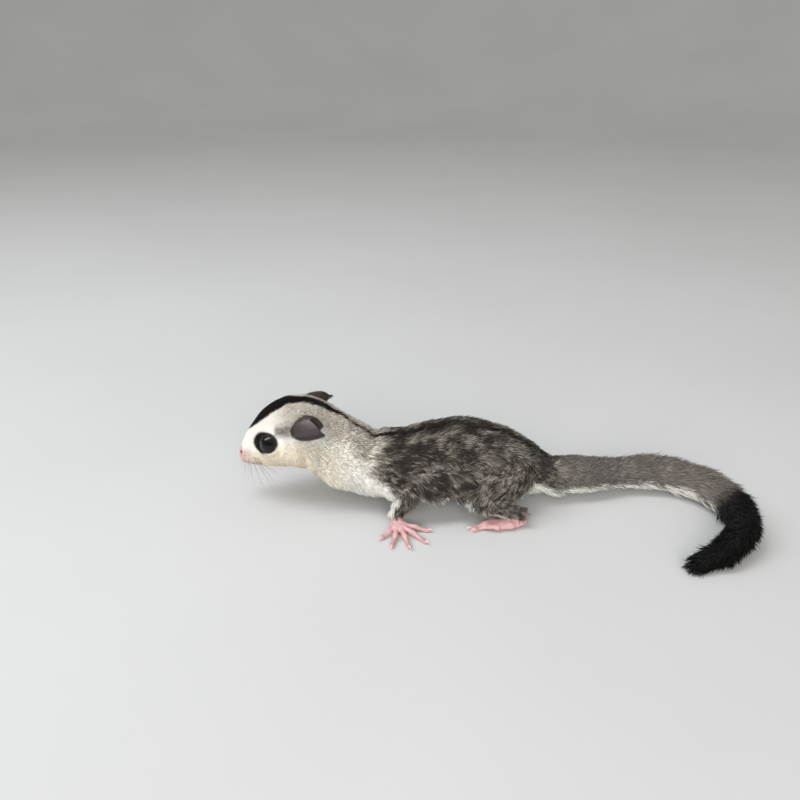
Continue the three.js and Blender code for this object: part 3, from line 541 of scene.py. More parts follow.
def net_quads(inside, index, axis):
    """Quads between the four cells round each grid edge along the axis that the skin crosses."""
    first = [slice(1, n - 1) for n in inside.shape]
    second = list(first)
    first[axis], second[axis] = slice(0, -1), slice(1, None)
    here, there = inside[tuple(first)], inside[tuple(second)]
    base = np.argwhere(here != there) + 1 - UNIT_STEPS[axis]
    du, dv = UNIT_STEPS[(axis + 1) % 3], UNIT_STEPS[(axis + 2) % 3]
    quads = np.column_stack([index[tuple((base + o).T)] for o in (-du - dv, -dv, 0 * du, -du)])
    enters = ~here[here != there]
    quads[enters] = quads[enters][:, ::-1]
    return quads


def surface_net():
    low, high = SKIN_BOX
    axes = [np.arange(a, b + SKIN_STEP, SKIN_STEP) for a, b in zip(low, high)]
    grid = np.stack(np.meshgrid(*axes, indexing="ij"), -1)
    nx, ny, nz = shape = grid.shape[:3]
    chunks = np.array_split(grid.reshape(-1, 3), grid.size // (3 * NET_CHUNK) + 1)
    values = np.concatenate([skin_distance(chunk) for chunk in chunks]).reshape(shape)
    inside = values < 0
    shifted = (inside[i : nx - 1 + i, j : ny - 1 + j, k : nz - 1 + k] for i, j, k in np.ndindex(2, 2, 2))
    count = sum(corner.astype(int) for corner in shifted)
    active = (count > 0) & (count < 8)
    cells = np.argwhere(active)
    index = np.full(active.shape, -1)
    index[active] = np.arange(len(cells))
    total, hits = edge_crossings(cells, values)
    vertices = np.array(low) + SKIN_STEP * total / hits[:, None]
    return vertices, np.vstack([net_quads(inside, index, axis) for axis in range(3)])


def gradient(p, f):
    moved = (p + SLOPE_STEP * UNIT_STEPS[k] for k in range(3))
    return np.column_stack([(skin_distance(q) - f) / SLOPE_STEP for q in moved])


def draw_to_skin(p, rounds):
    for _ in range(rounds):
        f = skin_distance(p)
        g = gradient(p, f)
        step = (f / np.maximum((g**2).sum(1), 0.25))[:, None] * g
        p = p - step * np.minimum(1, LONGEST_MOVE / np.maximum(norm(step)[:, None], 1e-9))
    return p


def nearer(p, place, scale=1.0):
    """Distance from the nearer one of a place and its mirror image."""
    return np.minimum(*(away_from(p, place, side, scale) for side in SIDES))


def is_head(p):
    return (p[:, 0] < 33) & (p[:, 2] > 6)


def is_face(p):
    return (p[:, 0] < 8.5) & (p[:, 2] > 6) | (nearer(p, EYE_CENTER) < 5.6)


def is_paw(p):
    hand = nearer(p, PALM["center"], (1, 1, 1 / 1.6)) < 14.5
    foot = nearer(p, SOLE["center"], (0.9, 1.3, 1.6)) < 17
    return (hand | foot) & (p[:, 2] < 5) & (np.abs(p[:, 1]) > 14)


def bm_points(bm):
    return np.array([v.co[:] for v in bm.verts])


def refine(bm, region):
    chosen = region(bm_points(bm))
    bm.verts.ensure_lookup_table()
    edges = [e for e in bm.edges if chosen[e.verts[0].index] and chosen[e.verts[1].index]]
    bmesh.ops.subdivide_edges(bm, edges=edges, cuts=1, use_grid_fill=True)
    bm.verts.index_update()


def make_skin():
    vertices, quads = surface_net()
    bm = bmesh.new()
    verts = [bm.verts.new(v) for v in draw_to_skin(vertices, 2)]
    for quad in quads:
        bm.faces.new([verts[i] for i in quad])
    bm.verts.index_update()
    for region in (is_head, is_paw, is_face):
        refine(bm, region)
    bmesh.ops.triangulate(bm, faces=bm.faces[:])
    points = draw_to_skin(bm_points(bm), 3)
    faces = np.array([[v.index for v in f.verts] for f in bm.faces])
    bm.free()
    return points, faces


# Blender objects from arrays


def new_object(name, points, faces, material):
    """An object from points in the animal's frame and rows of corners, which may differ in length."""
    mesh = bpy.data.meshes.new(name)
    mixed = isinstance(faces, list)
    counts = np.array([len(f) for f in faces]) if mixed else np.full(len(faces), faces.shape[1])
    corners = np.concatenate(faces) if mixed else faces.reshape(-1)
    mesh.vertices.add(len(points))
    mesh.vertices.foreach_set("co", ((np.asarray(points) + SHIFT) * MM).astype(np.float32).reshape(-1))
    mesh.loops.add(len(corners))
    mesh.loops.foreach_set("vertex_index", corners.astype(np.int32))
    mesh.polygons.add(len(counts))
    mesh.polygons.foreach_set("loop_start", (np.cumsum(counts) - counts).astype(np.int32))
    mesh.update(calc_edges=True)
    mesh.validate()
    mesh.polygons.foreach_set("use_smooth", np.ones(len(counts), bool))
    mesh.materials.append(material)
    piece = bpy.data.objects.new(name, mesh)
    bpy.context.scene.collection.objects.link(piece)
    return piece


# Colours of the coat and bare skin, as seen in even light, with painted highlight and shade in a few of them
# (red, green, blue from 0 to 255)
COLOURS = {
    "forehead": (252, 248, 240),
    "cheek": (250, 240, 222),
    "crown": (216, 208, 196),
    "patch": (116, 106, 101),
    "stripe": (20, 13, 10),
    "back_dark": (56, 49, 44),
    "back_light": (170, 162, 151),
    "neck_light": (226, 218, 205),
    "neck_dark": (170, 160, 148),
    "white": (251, 249, 243),
    "throat": (250, 244, 228),
    "jaw": (228, 202, 172),
    "tail": (112, 105, 101),
    "tail_end": (14, 12, 12),
    "pink": (210, 160, 155),
    "lip": (200, 146, 144),
    "mauve": (184, 156, 154),
    # dark reddish skin: real dots at the whiskers, and painted shade in the nostrils and along the mouth's
    # crease
    "nostril": (84, 44, 44),
    "hand": (220, 174, 172),
    "hand_shade": (150, 118, 126),
    "lid": (22, 15, 14),
    # reddish skin of the ear opening, with the shade inside it painted in
    "canal_skin_and_shade": (96, 44, 36),
    "ear_rim": (32, 25, 23),
    "ear_hollow": (52, 41, 36),
    "ear_flap": (56, 46, 45),
    # painted highlight on the ear's flap
    "ear_highlight": (118, 105, 105),
    "claw": (228, 205, 196),
    "floor": (200, 200, 199),
}


def linear(colour):
    c = np.array(colour, float) / 255
    return np.where(c <= 0.04045, c / 12.92, ((c + 0.055) / 1.055) ** 2.4)


LINEAR = {name: linear(value) for name, value in COLOURS.items()}


def paint(base, name, mask):
    return mix(base, LINEAR[name], np.clip(mask, 0, 1)[:, None])


# Half width of the dark stripe along the body, and how high the grey of the back begins
STRIPE = smooth_table([
    (4.6, -0.5), (6.3, 1.1), (8, 2.5), (10, 3.6), (13, 4.3), (16.3, 4.3), (19, 3.3), (22, 2.6),
    (26, 2.2), (30, 1.9), (34, 1.5), (42, 1.3), (60, 2.2), (90, 2.2), (112, 1.2), (118, 0.6),
])
GREY_FROM = smooth_table([
    (20, 1.1), (27, 0.78), (31, 0.58), (36, 0.5), (42, 0.42), (48, 0.36), (53, 0.1), (58, -0.15),
    (70, -0.3), (95, -0.4), (110, -0.5), (118, -0.7),
])
# Broad markings of the underside, over the forehead's colour: strength and the edges of each, from
# where it starts to where it is full, along the body (s) or up its side (rise)
UNDERSIDE = (
    ("cheek", 1.0, (("rise", 0.15, -0.2),)),
    ("throat", 1.0, (("s", 20, 30), ("rise", 0.4, 0.0))),
    ("white", 1.0, (("s", 30, 44), ("rise", 0.3, 0.0))),
    ("jaw", 0.42, (("s", 7, 10), ("s", 30, 23), ("rise", -0.35, -0.75))),
)
# Patterns of the fur: how they are drawn out along the body, size of their blots and seed
PATTERNS = {"fine": (0.5, 0.8, 3), "broad": (0.6, 2.6, 5), "speck": (0.35, 0.34, 4), "blotch": (1, 0.8, 8)}
# The grey patch behind the eye follows a line that rises to the back
EYE_PATCH = {"x": 15.5, "up": 12.6, "slope": 0.35}
EYE_MASK = {"back": 11.6, "up": 4.1, "half": (4.4, 3.5), "lean": (0.145, 0.42, 0.906), "beside": 11.0}
BEHIND_EAR = (29.6, 10.0, NOSE_HEIGHT + 12.6)
EAR_CANAL = (26.5, 12.9, NOSE_HEIGHT + 10.8)
# Soft spots beside the nose: colour, place, reach from full to none, strength
MUZZLE_SPOTS = (
    ("pink", (3.6, 3.6, NOSE_HEIGHT - 0.4), 0.8, 0.4),
    ("mauve", (3.8, 3.4, NOSE_HEIGHT + 1.6), 0.6, 0.5),
)


class Part:
    """What a point of the skin belongs to: the trunk, a chain or a membrane, with weights."""

    def __init__(self, p):
        self.s, self.h, v = body_place(p)
        self.rise = self.h / (v[:, 1] - v[:, 6])
        self.kinds, self.distances, self.ways, self.places = [], [], [], []
        self.add("trunk", body_distance(p), (1.0, 0.0, 0.0), self.s)
        for chain in chains:
            d, index = chain.distance(p)
            self.add(chain.kind, d, chain.along[index], index / (len(chain.points) - 1))
        for side in SIDES:
            for kind, distance, way in (
                ("membrane", membrane_distance(p, side), unit(on_side(MEMBRANE_WAY, side))),
                ("hand", form_distance(p, PALM, side), heading(HAND_TURN[side], side)),
                ("foot", form_distance(p, SOLE, side), heading(SOLE_WAY, side)),
            ):
                self.add(kind, distance, way, self.s)
        self.distances = np.array(self.distances)
        weights = np.exp(-(self.distances - self.distances.min(0)) / 0.7)
        self.weights = weights / weights.sum(0)

    def add(self, kind, distance, way, place):
        self.kinds.append(kind)
        self.distances.append(distance)
        self.ways.append(np.broadcast_to(way, (len(distance), 3)))
        self.places.append(place)

    def share(self, *kinds):
        return sum(w for w, kind in zip(self.weights, self.kinds) if kind in kinds)

    def place(self, *kinds):
        """Mean place along the parts of these kinds, where they count."""
        total = sum(w * q for w, q, kind in zip(self.weights, self.places, self.kinds) if kind in kinds)
        return total / np.maximum(self.share(*kinds), 1e-6)

    def way(self):
        return sum(w[:, None] * way for w, way in zip(self.weights, self.ways))


def pattern(p, name):
    stretch, size, seed = PATTERNS[name]
    return value_noise(p * (stretch, 1, 1), size, seed)


def bare_share(p, part):
    """Where the skin has no coat: nose, lips, rims of the lids, hands and feet."""
    bare = ramp(form_distance(p, NOSE_PAD), 0.55, 0.15)
    bare = np.maximum(bare, ramp(mouth_distance(p), 0.85, 0.4))
    for side in SIDES:
        away, angle, rim, _ = eye_polar(p, side)
        bare = np.maximum(bare, ramp(angle, rim + 3.2, rim + 2.2) * (away < 6))
    return np.maximum(bare, ramp(part.share(*PAWS), 0.45, 0.62))


def eye_mask(p):
    """Share of the dark mask round the eyes, an oval as seen from the side and a little above."""
    lean_x, lean_y, lean_z = EYE_MASK["lean"]
    beside = np.abs(p[:, 1])
    back = p[:, 0] + lean_x * (EYE_MASK["beside"] - beside) - EYE_MASK["back"]
    up = lean_z * (p[:, 2] - NOSE_HEIGHT) - lean_y * beside - EYE_MASK["up"]
    oval = np.hypot(back / EYE_MASK["half"][0], up / EYE_MASK["half"][1])
    return ramp(oval, 1.13, 0.9) * ramp(beside, 2.5, 3.5)


def behind_ear(p, side):
    """Share of the white tuft behind the ear."""
    return ramp(away_from(p, BEHIND_EAR, side, (1, 1, 0.8)), 3.0, 1.4)


def white_to_grey(c, dark, grey, share):
    """Over the colour c by share: white that turns to the back's grey, which is dark by its own share."""
    back = mix(LINEAR["back_light"], LINEAR["back_dark"], dark[:, None])
    return mix(c, mix(LINEAR["white"], back, grey[:, None]), share[:, None])


def head_colour(p, part, fine):
    """Markings of head, neck and underside."""
    s, rise = part.s, part.rise
    c = np.tile(LINEAR["forehead"], (len(p), 1))
    for name, strength, edges in UNDERSIDE:
        share = math.prod(ramp(getattr(part, run), low, high) for run, low, high in edges)
        c = paint(c, name, share * strength)
    c = paint(c, "crown", ramp(s, 13, 21) * ramp(rise, 0.35, 0.7) * (0.55 + 0.6 * fine))
    line = p[:, 2] - NOSE_HEIGHT - EYE_PATCH["up"] - EYE_PATCH["slope"] * (s - EYE_PATCH["x"])
    patch = ramp(s, 14.5, 16) * ramp(s, 26, 18) * ramp(np.abs(line), 3.4, 0.6)
    c = paint(c, "patch", patch * (0.45 + 0.6 * fine) * ramp(np.abs(p[:, 1]), 6.5, 8.5))
    speck = ramp(pattern(p, "speck"), 0.55, 0.8)
    return paint(c, "neck_dark", speck * ramp(s, 14, 24) * ramp(rise, 0.45, 0.8) * 0.5)


def back_colour(c, p, n, part, fine):
    """The grey of back, limbs and membranes, and the dark stripe."""
    s = part.s
    broad = pattern(p, "broad")
    grey_from = GREY_FROM(s)[:, 0]
    grey = ramp(part.rise + 0.22 * (broad - 0.5), grey_from - 0.05, grey_from + 0.12)
    mottle = ramp(0.55 * fine + 0.45 * broad + 0.1 * ramp(s, 44, 54), 0.3, 0.7) * ramp(s, 24, 52)
    from_neck = ramp(s + 4 * (broad - 0.5), 42, 54)[:, None]
    light = mix(LINEAR["neck_light"], LINEAR["back_light"], from_neck)
    dark = mix(LINEAR["neck_dark"], LINEAR["back_dark"], from_neck)
    c = mix(c, mix(light, dark, mottle[:, None]), grey[:, None])
    arm, leg = part.share("upper_arm", "forearm", "hand"), part.share("thigh", "shank", "foot")
    back, up = n[:, 0], n[:, 2]
    out = n[:, 1] * np.sign(p[:, 1])
    arm_grey = ramp(back * 0.75 + out * 0.45 + up * 0.35 + 0.25 * (fine - 0.5), -0.02, 0.22)
    c = white_to_grey(c, ramp(fine, 0.2, 0.6), arm_grey, arm)
    leg_grey = ramp(out * 0.7 + up * 0.5 + 0.4 * back + 0.2 * (fine - 0.5), -0.15, 0.2)
    c = white_to_grey(c, ramp(fine, 0.15, 0.7), leg_grey, leg)
    sheet_grey = ramp(out + 0.3 * up, -0.1, 0.3) * ramp(p[:, 2], 7.0, 10.5)
    c = white_to_grey(c, mottle, sheet_grey, part.share("membrane"))
    band = STRIPE(s)[:, 0] + 0.5 * (fine - 0.5) - np.abs(p[:, 1])
    strong = mix(1.0, 0.88, ramp(s, 42, 60))
    return paint(c, "stripe", ramp(band, -0.35, 0.35) * (part.rise > 0) * strong * (1 - arm) * (1 - leg))


def tail_colour(c, n, part, fine):
    """Grey above, white below and black toward the end."""
    own = mix(LINEAR["tail"], LINEAR["back_light"], (0.5 * fine)[:, None])
    own = paint(own, "white", ramp(-n[:, 2] + 0.2 * (fine - 0.5), 0.2, 0.55))
    own = paint(own, "tail_end", ramp(part.place("tail") + 0.05 * (fine - 0.5), 0.55, 0.63))
    return mix(c, own, part.share("tail")[:, None])


def face_colour(c, p):
    """Mask of the eyes, tuft behind the ear, pink of nose and lips and dots at the whiskers."""
    for side in SIDES:
        away, angle, rim, _ = eye_polar(p, side)
        ring = ramp(angle, rim + 7, rim + 3) * ramp(away, 9.5, 7.5)
        c = paint(c, "lid", np.maximum(ring, eye_mask(p)) * 0.95)
        c = paint(c, "white", behind_ear(p, side))
        # painted shade: a dark reddish spot under the ear stands for the shaded ear opening
        c = paint(c, "canal_skin_and_shade", ramp(away_from(p, EAR_CANAL, side), 1.7, 0.5) * 0.85)
    nose = ramp(form_distance(p, NOSE_PAD), 3.0, 0.2)
    c = paint(c, "pink", nose * ramp(p[:, 2], NOSE_HEIGHT + 5.0, NOSE_HEIGHT + 2.4) * 0.75)
    from_mouth = mouth_distance(p)
    c = paint(c, "lip", ramp(from_mouth, 1.6, 0.4) * 0.6)
    for side in SIDES:
        for name, place, full, strength in MUZZLE_SPOTS:
            c = paint(c, name, ramp(away_from(p, place, side), 3.0, full) * strength)
        c = paint(c, "nostril", whisker_dots(p, side) * ramp(from_mouth, 0.7, 0.9) * 0.8)
    return c


def coat_colour(p, n, part):
    """Markings at points of the skin, which the coat takes from its roots, with the painted shade of the ear
    openings among them.
    """
    fine = pattern(p, "fine")
    c = head_colour(p, part, fine)
    c = back_colour(c, p, n, part, fine)
    c = tail_colour(c, n, part, fine)
    return face_colour(c, p)


# Whiskers: their lengths from front to back, radius at root and tip, and the brow's own
WHISKERS = {"rows": 4, "in_row": 5, "length": (7, 16), "radii": (0.05, 0.008), "droop": 0.28}
BROW_WHISKERS = ((10.5, 118, 8), (11.5, 123, 7))


def upper_point(x, angle, side):
    return body_surface_point(x, angle if side == LEFT else 180 - angle)


def whisker_root(side, row, k):
    """Where each whisker grows: rows along the upper lip, numbered back from the nose."""
    x = 2.5 + 1.0 * k + 0.25 * (row % 2)
    return upper_point(x, 182 + 4.5 * (x - 2.5) + 7.5 * row, side)


def whisker_dots(p, side):
    """Dark dots at the roots of the whiskers."""
    dots = np.zeros(len(p))
    near = (p[:, 0] < 9) & (side * p[:, 1] > 0.5)
    for row, k in np.ndindex(WHISKERS["rows"], WHISKERS["in_row"]):
        away = norm(p[near] - whisker_root(side, row, k))
        dots[near] = np.maximum(dots[near], ramp(away, 0.42, 0.16))
    return dots


def skin_colour(p, n, part):
    c = coat_colour(p, n, part)
    c = paint(c, "pink", ramp(form_distance(p, NOSE_PAD), 0.8, 0.2))
    from_mouth = mouth_distance(p)
    c = paint(c, "lip", ramp(from_mouth, 0.9, 0.5) * 0.9)
    # painted shade along the crease where the lips meet
    c = paint(c, "nostril", ramp(from_mouth, 0.42, 0.12) * 0.7)
    for side in SIDES:
        # the nostrils' dark reddish skin, deepened by painted shade in the openings
        c = paint(c, "nostril", ramp(form_distance(p, NOSTRIL, side), 0.35, 0.05))
        away, angle, rim, _ = eye_polar(p, side)
        c = paint(c, "lid", ramp(angle, rim + 7, rim + 4) * (away < 6))
    paws = ramp(part.share(*PAWS), 0.35, 0.6)
    c = paint(c, "hand", paws)
    knuckle = part.place(*DIGITS) * part.share(*DIGITS)
    blotch = 0.4 + 0.6 * pattern(p, "blotch")
    shade = mix(0.35, 1.0, ramp(knuckle, 0.3, 0.9)) * ramp(n[:, 2], -0.3, 0.6) * blotch
    return paint(c, "hand_shade", 0.8 * shade * paws)


# Materials


class Look:
    """A material: its shader's plain values, and short ways to build the nodes before it."""

    def __init__(self, name, values):
        self.material = bpy.data.materials.new(name)
        self.material.use_nodes = True
        self.tree = self.material.node_tree
        self.shader = self.tree.nodes["Principled BSDF"]
        self.fill(self.shader, values)

    def fill(self, node, values):
        """Give each input its number or colour, or link it to an output."""
        for name, value in values.items():
            if isinstance(value, bpy.types.NodeSocket):
                self.tree.links.new(value, node.inputs[name])
            else:
                node.inputs[name].default_value = value

    def add(self, kind, values, **settings):
        node = self.tree.nodes.new("ShaderNode" + kind)
        for name, value in settings.items():
            setattr(node, name, value)
        self.fill(node, values)
        return node.outputs

    def place(self):
        return self.add("TexCoord", {})["Object"]

    def marks(self, name="coat"):
        return self.add("Attribute", {}, attribute_name=name)["Color"]

    def noise(self, scale, detail=3.0):
        return self.add("TexNoise", {"Vector": self.place(), "Scale": scale, "Detail": detail})["Fac"]

    def spread(self, value, low, high, to_low=0, to_high=1):
        ends = {"From Min": low, "From Max": high, "To Min": to_low, "To Max": to_high}
        return self.add("MapRange", {"Value": value, **ends})["Result"]

    def mix(self, blend, factor, a, b):
        return self.add("Mix", {0: factor, 6: a, 7: b}, data_type="RGBA", blend_type=blend)[2]

    def shaded(self, *amounts):
        """The piece's own colours, darkened or lightened by each amount."""
        colour = self.marks()
        for amount in amounts:
            grey = self.add("CombineColor", {"Red": amount, "Green": amount, "Blue": amount})["Color"]
            colour = self.mix("MULTIPLY", 1.0, colour, grey)
        return self.finish(colour)

    def two_tones(self, factor, a, b):
        return self.finish(self.mix("MIX", factor, (*a, 1), (*b, 1)))

    def bump(self, height, strength, distance):
        bump = self.add("Bump", {"Strength": strength, "Distance": distance, "Height": height})
        self.fill(self.shader, {"Normal": bump["Normal"]})

    def finish(self, colour):
        self.fill(self.shader, {"Base Color": colour})
        return self.material


def coat_material():
    """Each tuft has the colour at its root, a shade of its own and a darker foot."""
    gloss = {"Roughness": 0.72, "Specular IOR Level": 0.25, "Sheen Weight": 0.08, "Sheen Roughness": 0.4}
    look = Look("coat", gloss)
    tuft = look.add("SeparateColor", {"Color": look.marks("tuft")})
    shade = look.spread(tuft["Red"], 0, 1, 0.91, 1.04)
    foot = look.spread(tuft["Green"], 0, 0.6, 0.86, 1.02)
    streak = look.spread(look.noise(2600), 0.3, 0.7, 0.9, 1.04)
    return look.shaded(shade, foot, streak)


def skin_material():
    """Markings under the coat; pink, creased skin where it is bare."""
    flesh = {"Subsurface Weight": 0.04, "Subsurface Radius": (1.0, 0.35, 0.25), "Subsurface Scale": 0.001}
    look = Look("skin", {"Roughness": 0.5, **flesh})
    creases = look.add("TexVoronoi", {"Vector": look.place(), "Scale": 5200}, feature="DISTANCE_TO_EDGE")
    look.bump(look.spread(creases["Distance"], 0, 0.12), 0.16, 0.00006)
    return look.shaded(look.spread(look.noise(900, 4), 0.3, 0.7, 0.86, 1.06))


def eye_material():
    """Nearly black, with a brown iris that shows only at the edge of the wide pupil."""
    look = Look("eye", {"Roughness": 0.03, "IOR": 1.42})
    return look.shaded(look.spread(look.noise(1500), 0.35, 0.65, 0.6, 1.0))


def ear_material():
    """Thin bare skin with fine veins and a soft bloom."""
    look = Look("ear", {"Roughness": 0.6, "Sheen Weight": 0.1})
    look.bump(look.noise(1000, 6), 0.4, 0.0003)
    return look.shaded(look.spread(look.noise(700, 6), 0.42, 0.6, 0.82, 1.08))


def horn_material():
    """Pale claws, slightly see-through at the tip, with lengthwise grain."""
    look = Look("claw", {"Roughness": 0.32, "Subsurface Weight": 0.2, "Subsurface Scale": 0.0005})
    grain = look.spread(look.noise(2400, 2), 0.3, 0.7)
    return look.two_tones(grain, LINEAR["claw"], LINEAR["claw"] * 0.72)


def whisker_material():
    look = Look("whisker", {"Roughness": 0.4})
    tone = look.spread(look.noise(300, 1), 0.45, 0.55)
    return look.two_tones(tone, (0.02, 0.017, 0.015), (0.35, 0.33, 0.3))


def floor_material():
    look = Look("floor", {"Roughness": 0.85})
    return look.two_tones(look.spread(look.noise(6, 4), 0.3, 0.7), LINEAR["floor"], LINEAR["floor"] * 0.95)


def make_piece(name, points, faces, material, slot, replaced=(), **colours):
    """A piece of the animal, with its colours of three or four channels for each point."""
    piece = new_object(name, points, faces, material)
    for layer_name, values in colours.items():
        values = np.column_stack([values, np.ones(len(values))]) if values.shape[1] == 3 else values
        layer = piece.data.color_attributes.new(layer_name, "FLOAT_COLOR", "POINT")
        layer.data.foreach_set("color", values.astype(np.float32).reshape(-1))
    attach(piece, "root")
    if replaced:
        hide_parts(*replaced)
    return piece


def vertex_normals(points, faces):
    """Normals at the points and the area of each face."""
    a, b, c = (points[faces[:, k]] for k in range(3))
    cross = np.cross(b - a, c - a)
    normals = np.zeros_like(points)
    for k in range(3):
        np.add.at(normals, faces[:, k], cross)
    return unit(normals), norm(cross) / 2


# Skin

skin_look, coat_look = skin_material(), coat_material()
skin_points, skin_faces = make_skin()
skin_normals, face_areas = vertex_normals(skin_points, skin_faces)
skin_marks = skin_colour(skin_points, skin_normals, Part(skin_points))
FLESH = [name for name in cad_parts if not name.startswith(("eye", "ear"))]
make_piece("skin", skin_points, skin_faces, skin_look, "bare_skin", FLESH, coat=skin_marks)


# Eyes


def face_outward(piece):
    bm = bmesh.new()
    bm.from_mesh(piece.data)
    bmesh.ops.recalc_face_normals(bm, faces=bm.faces[:])
    bm.to_mesh(piece.data)
    bm.free()


def grid_faces(rows, columns, wrap):
    """Quads over a grid of points with the given rows and columns, which may close round."""
    r, c = np.meshgrid(np.arange(rows - 1), np.arange(columns if wrap else columns - 1), indexing="ij")
    n = (c + 1) % columns
    corners = (r * columns + c, r * columns + n, (r + 1) * columns + n, (r + 1) * columns + c)
    return np.stack(corners, -1).reshape(-1, 4)


def whole_turn(count):
    return np.linspace(0, 2 * math.pi, count, endpoint=False)


def make_eye(side, material):
    center, axis, ahead, up = eye_frame(side)
    rows, columns = EYE_GRID
    polar = np.linspace(EYE_POLE, math.pi - EYE_POLE, rows)
    polar, turn = np.meshgrid(polar, whole_turn(columns), indexing="ij")
    bulge = EYE_RADIUS + CORNEA * ramp(polar, 0.95, 0.2)
    round_it = np.cos(turn)[..., None] * ahead + np.sin(turn)[..., None] * up
    out = np.cos(polar)[..., None] * axis + np.sin(polar)[..., None] * round_it
    points = (center + bulge[..., None] * out).reshape(-1, 3)
    faces = grid_faces(rows, columns, True)[:, ::side]
    caps = [np.arange(columns)[::-side], ((rows - 1) * columns + np.arange(columns))[::side]]
    iris = ramp(np.degrees(polar).reshape(-1), 36, 42)[:, None]
    colour = mix(np.array(PUPIL_COLOUR), np.array(IRIS_COLOUR), iris)
    word = WORDS[side]
    make_piece(f"eyeball_{word}", points, [*faces, *caps], material, "eye", [f"eye_{word}"], coat=colour)


def make_lid(side):
    """The rounded dark rim of the lids, lying on the eyeball."""
    center, axis, ahead, up = eye_frame(side)
    turns, around = LID_GRID
    turn = whole_turn(turns)
    rim = np.radians(lid_rim(turn))[:, None]
    outward = np.cos(turn)[:, None] * ahead + np.sin(turn)[:, None] * up
    away = np.cos(rim) * axis + np.sin(rim) * outward
    across = np.cos(rim) * outward - np.sin(rim) * axis
    bend = whole_turn(around)[None, :, None]
    ring = np.cos(bend) * away[:, None] + np.sin(bend) * across[:, None]
    roll = (LID_ROLL * (1 + 0.15 * np.cos(2 * turn)))[:, None, None]
    points = center + (EYE_RADIUS + LID_ROLL_OUT) * away[:, None] + roll * ring
    first = np.arange(around)
    last = (turns - 1) * around + first
    closing = np.column_stack([last, np.roll(last, -1), np.roll(first, -1), first])
    quads = np.vstack([grid_faces(turns, around, True), closing])
    colour = np.tile(LINEAR["lid"], (turns * around, 1))
    lid = make_piece(f"lid_{WORDS[side]}", points.reshape(-1, 3), quads, skin_look, "bare_skin", coat=colour)
    face_outward(lid)


# Ears: the same folded sheet as in the source, with a thin rolled rim

EAR_ROWS = [
    ((21.9, 11.6, 13.4), (21.3, 12.9, 15.4), (21.9, 13.9, 14.0)),
    ((23.7, 10.6, 15.4), (23.5, 12.0, 18.4), (24.0, 16.3, 14.0)),
    ((26.6, 10.0, 16.0), (26.6, 11.4, 20.3), (27.4, 17.8, 14.3)),
    ((29.4, 10.0, 15.6), (30.0, 11.8, 20.0), (30.9, 17.9, 15.1)),
    ((31.4, 10.8, 14.2), (33.2, 13.2, 17.3), (34.2, 16.8, 15.9)),
]
EAR_FOLD_AT = 0.42
EAR_NOTCH = ((0, 1), (0.42, 1), (0.6, 0.56), (1, 1))
EAR_THICK = 0.62
FAR_EAR_LIFT = -1.6
EAR_ACROSS, EAR_ALONG = 40, 44  # points of its grid
EAR_DOWN = {"count": 4600, "rim": 0.3, "length": (0.35, 0.85), "width": 0.055, "foot": 18, "tip": 6}


def ear_sheet(side):
    """Middle of the folded sheet, its outward way, place across, along and along its shortened rim."""
    stops = ([on_side(row[k], side) + (0, 0, NOSE_HEIGHT) for row in EAR_ROWS] for k in range(3))
    lines = [smooth_line(line, 12) for line in stops]
    t = np.linspace(-0.22, 1, EAR_ACROSS)
    reach = np.interp(t, *zip(*EAR_NOTCH))
    reach = np.convolve(np.pad(reach, 2, mode="edge"), np.ones(5) / 5, mode="valid")
    along = np.linspace(0, 1, EAR_ALONG)
    place = along[:, None] * reach
    at = place * (len(lines[0]) - 1)
    root, ridge, edge = (np.stack([np.interp(at, np.arange(len(line)), line[:, k]) for k in range(3)], -1)
                         for line in lines)
    lift = (FAR_EAR_LIFT if side == RIGHT else 0) * np.sin(np.pi * place)
    ridge[..., 2] += 0.8 * lift
    edge[..., 1] += side * 0.6 * lift
    edge[..., 2] += 1.3 * lift
    r = EAR_FOLD_AT
    control = (ridge - (1 - r) ** 2 * root - r**2 * edge) / (2 * r * (1 - r))
    t = t[None, :, None]
    middle = (1 - t) ** 2 * root + 2 * t * (1 - t) * control + t**2 * edge
    normal = unit(np.cross(np.gradient(middle, axis=0), np.gradient(middle, axis=1))) * -side
    t = np.broadcast_to(t[..., 0], place.shape)
    ripple = 0.16 * np.sin(9 * along)[:, None] * ramp(t, 0.5, 1)
    return middle + normal * ripple[..., None], normal, t, along, place


def ear_half_thickness(t, along):
    rim = np.minimum(np.minimum(1 - t, 0.35) / 0.12, np.minimum(along, 1 - along)[:, None] * 14 + 0.25)
    half = EAR_THICK / 2 * mix(1.0, 0.62, ramp(t, 0.3, 0.95)) * np.sqrt(np.clip(rim, 0.06, 1))
    return half + 0.1 * ramp(t, 0.86, 0.95) * ramp(t, 1.0, 0.97)


def ear_colour(t, along, place):
    """Dark hollow, arch and rim; a painted highlight on the flap toward the tip."""
    colour = np.tile(LINEAR["ear_flap"], (t.size, 1))
    # painted highlight: a pale band across the middle of the flap, toward its tip
    light = ramp(t, 0.58, 0.66) * ramp(t, 0.9, 0.68) * ramp(along, 0.45, 0.95)
    for name, mask in (
        ("ear_hollow", ramp(t, 0.66, 0.56)),
        ("ear_highlight", 0.8 * light),
        ("ear_rim", 0.8 * ramp(t, 0.92, 0.99)),
        ("ear_rim", 0.9 * ramp(place, 0.25, 0.06)),
        ("ear_rim", 0.75 * ramp(np.abs(t - EAR_FOLD_AT), 0.2, 0.1)),
    ):
        colour = paint(colour, name, mask)
    return colour


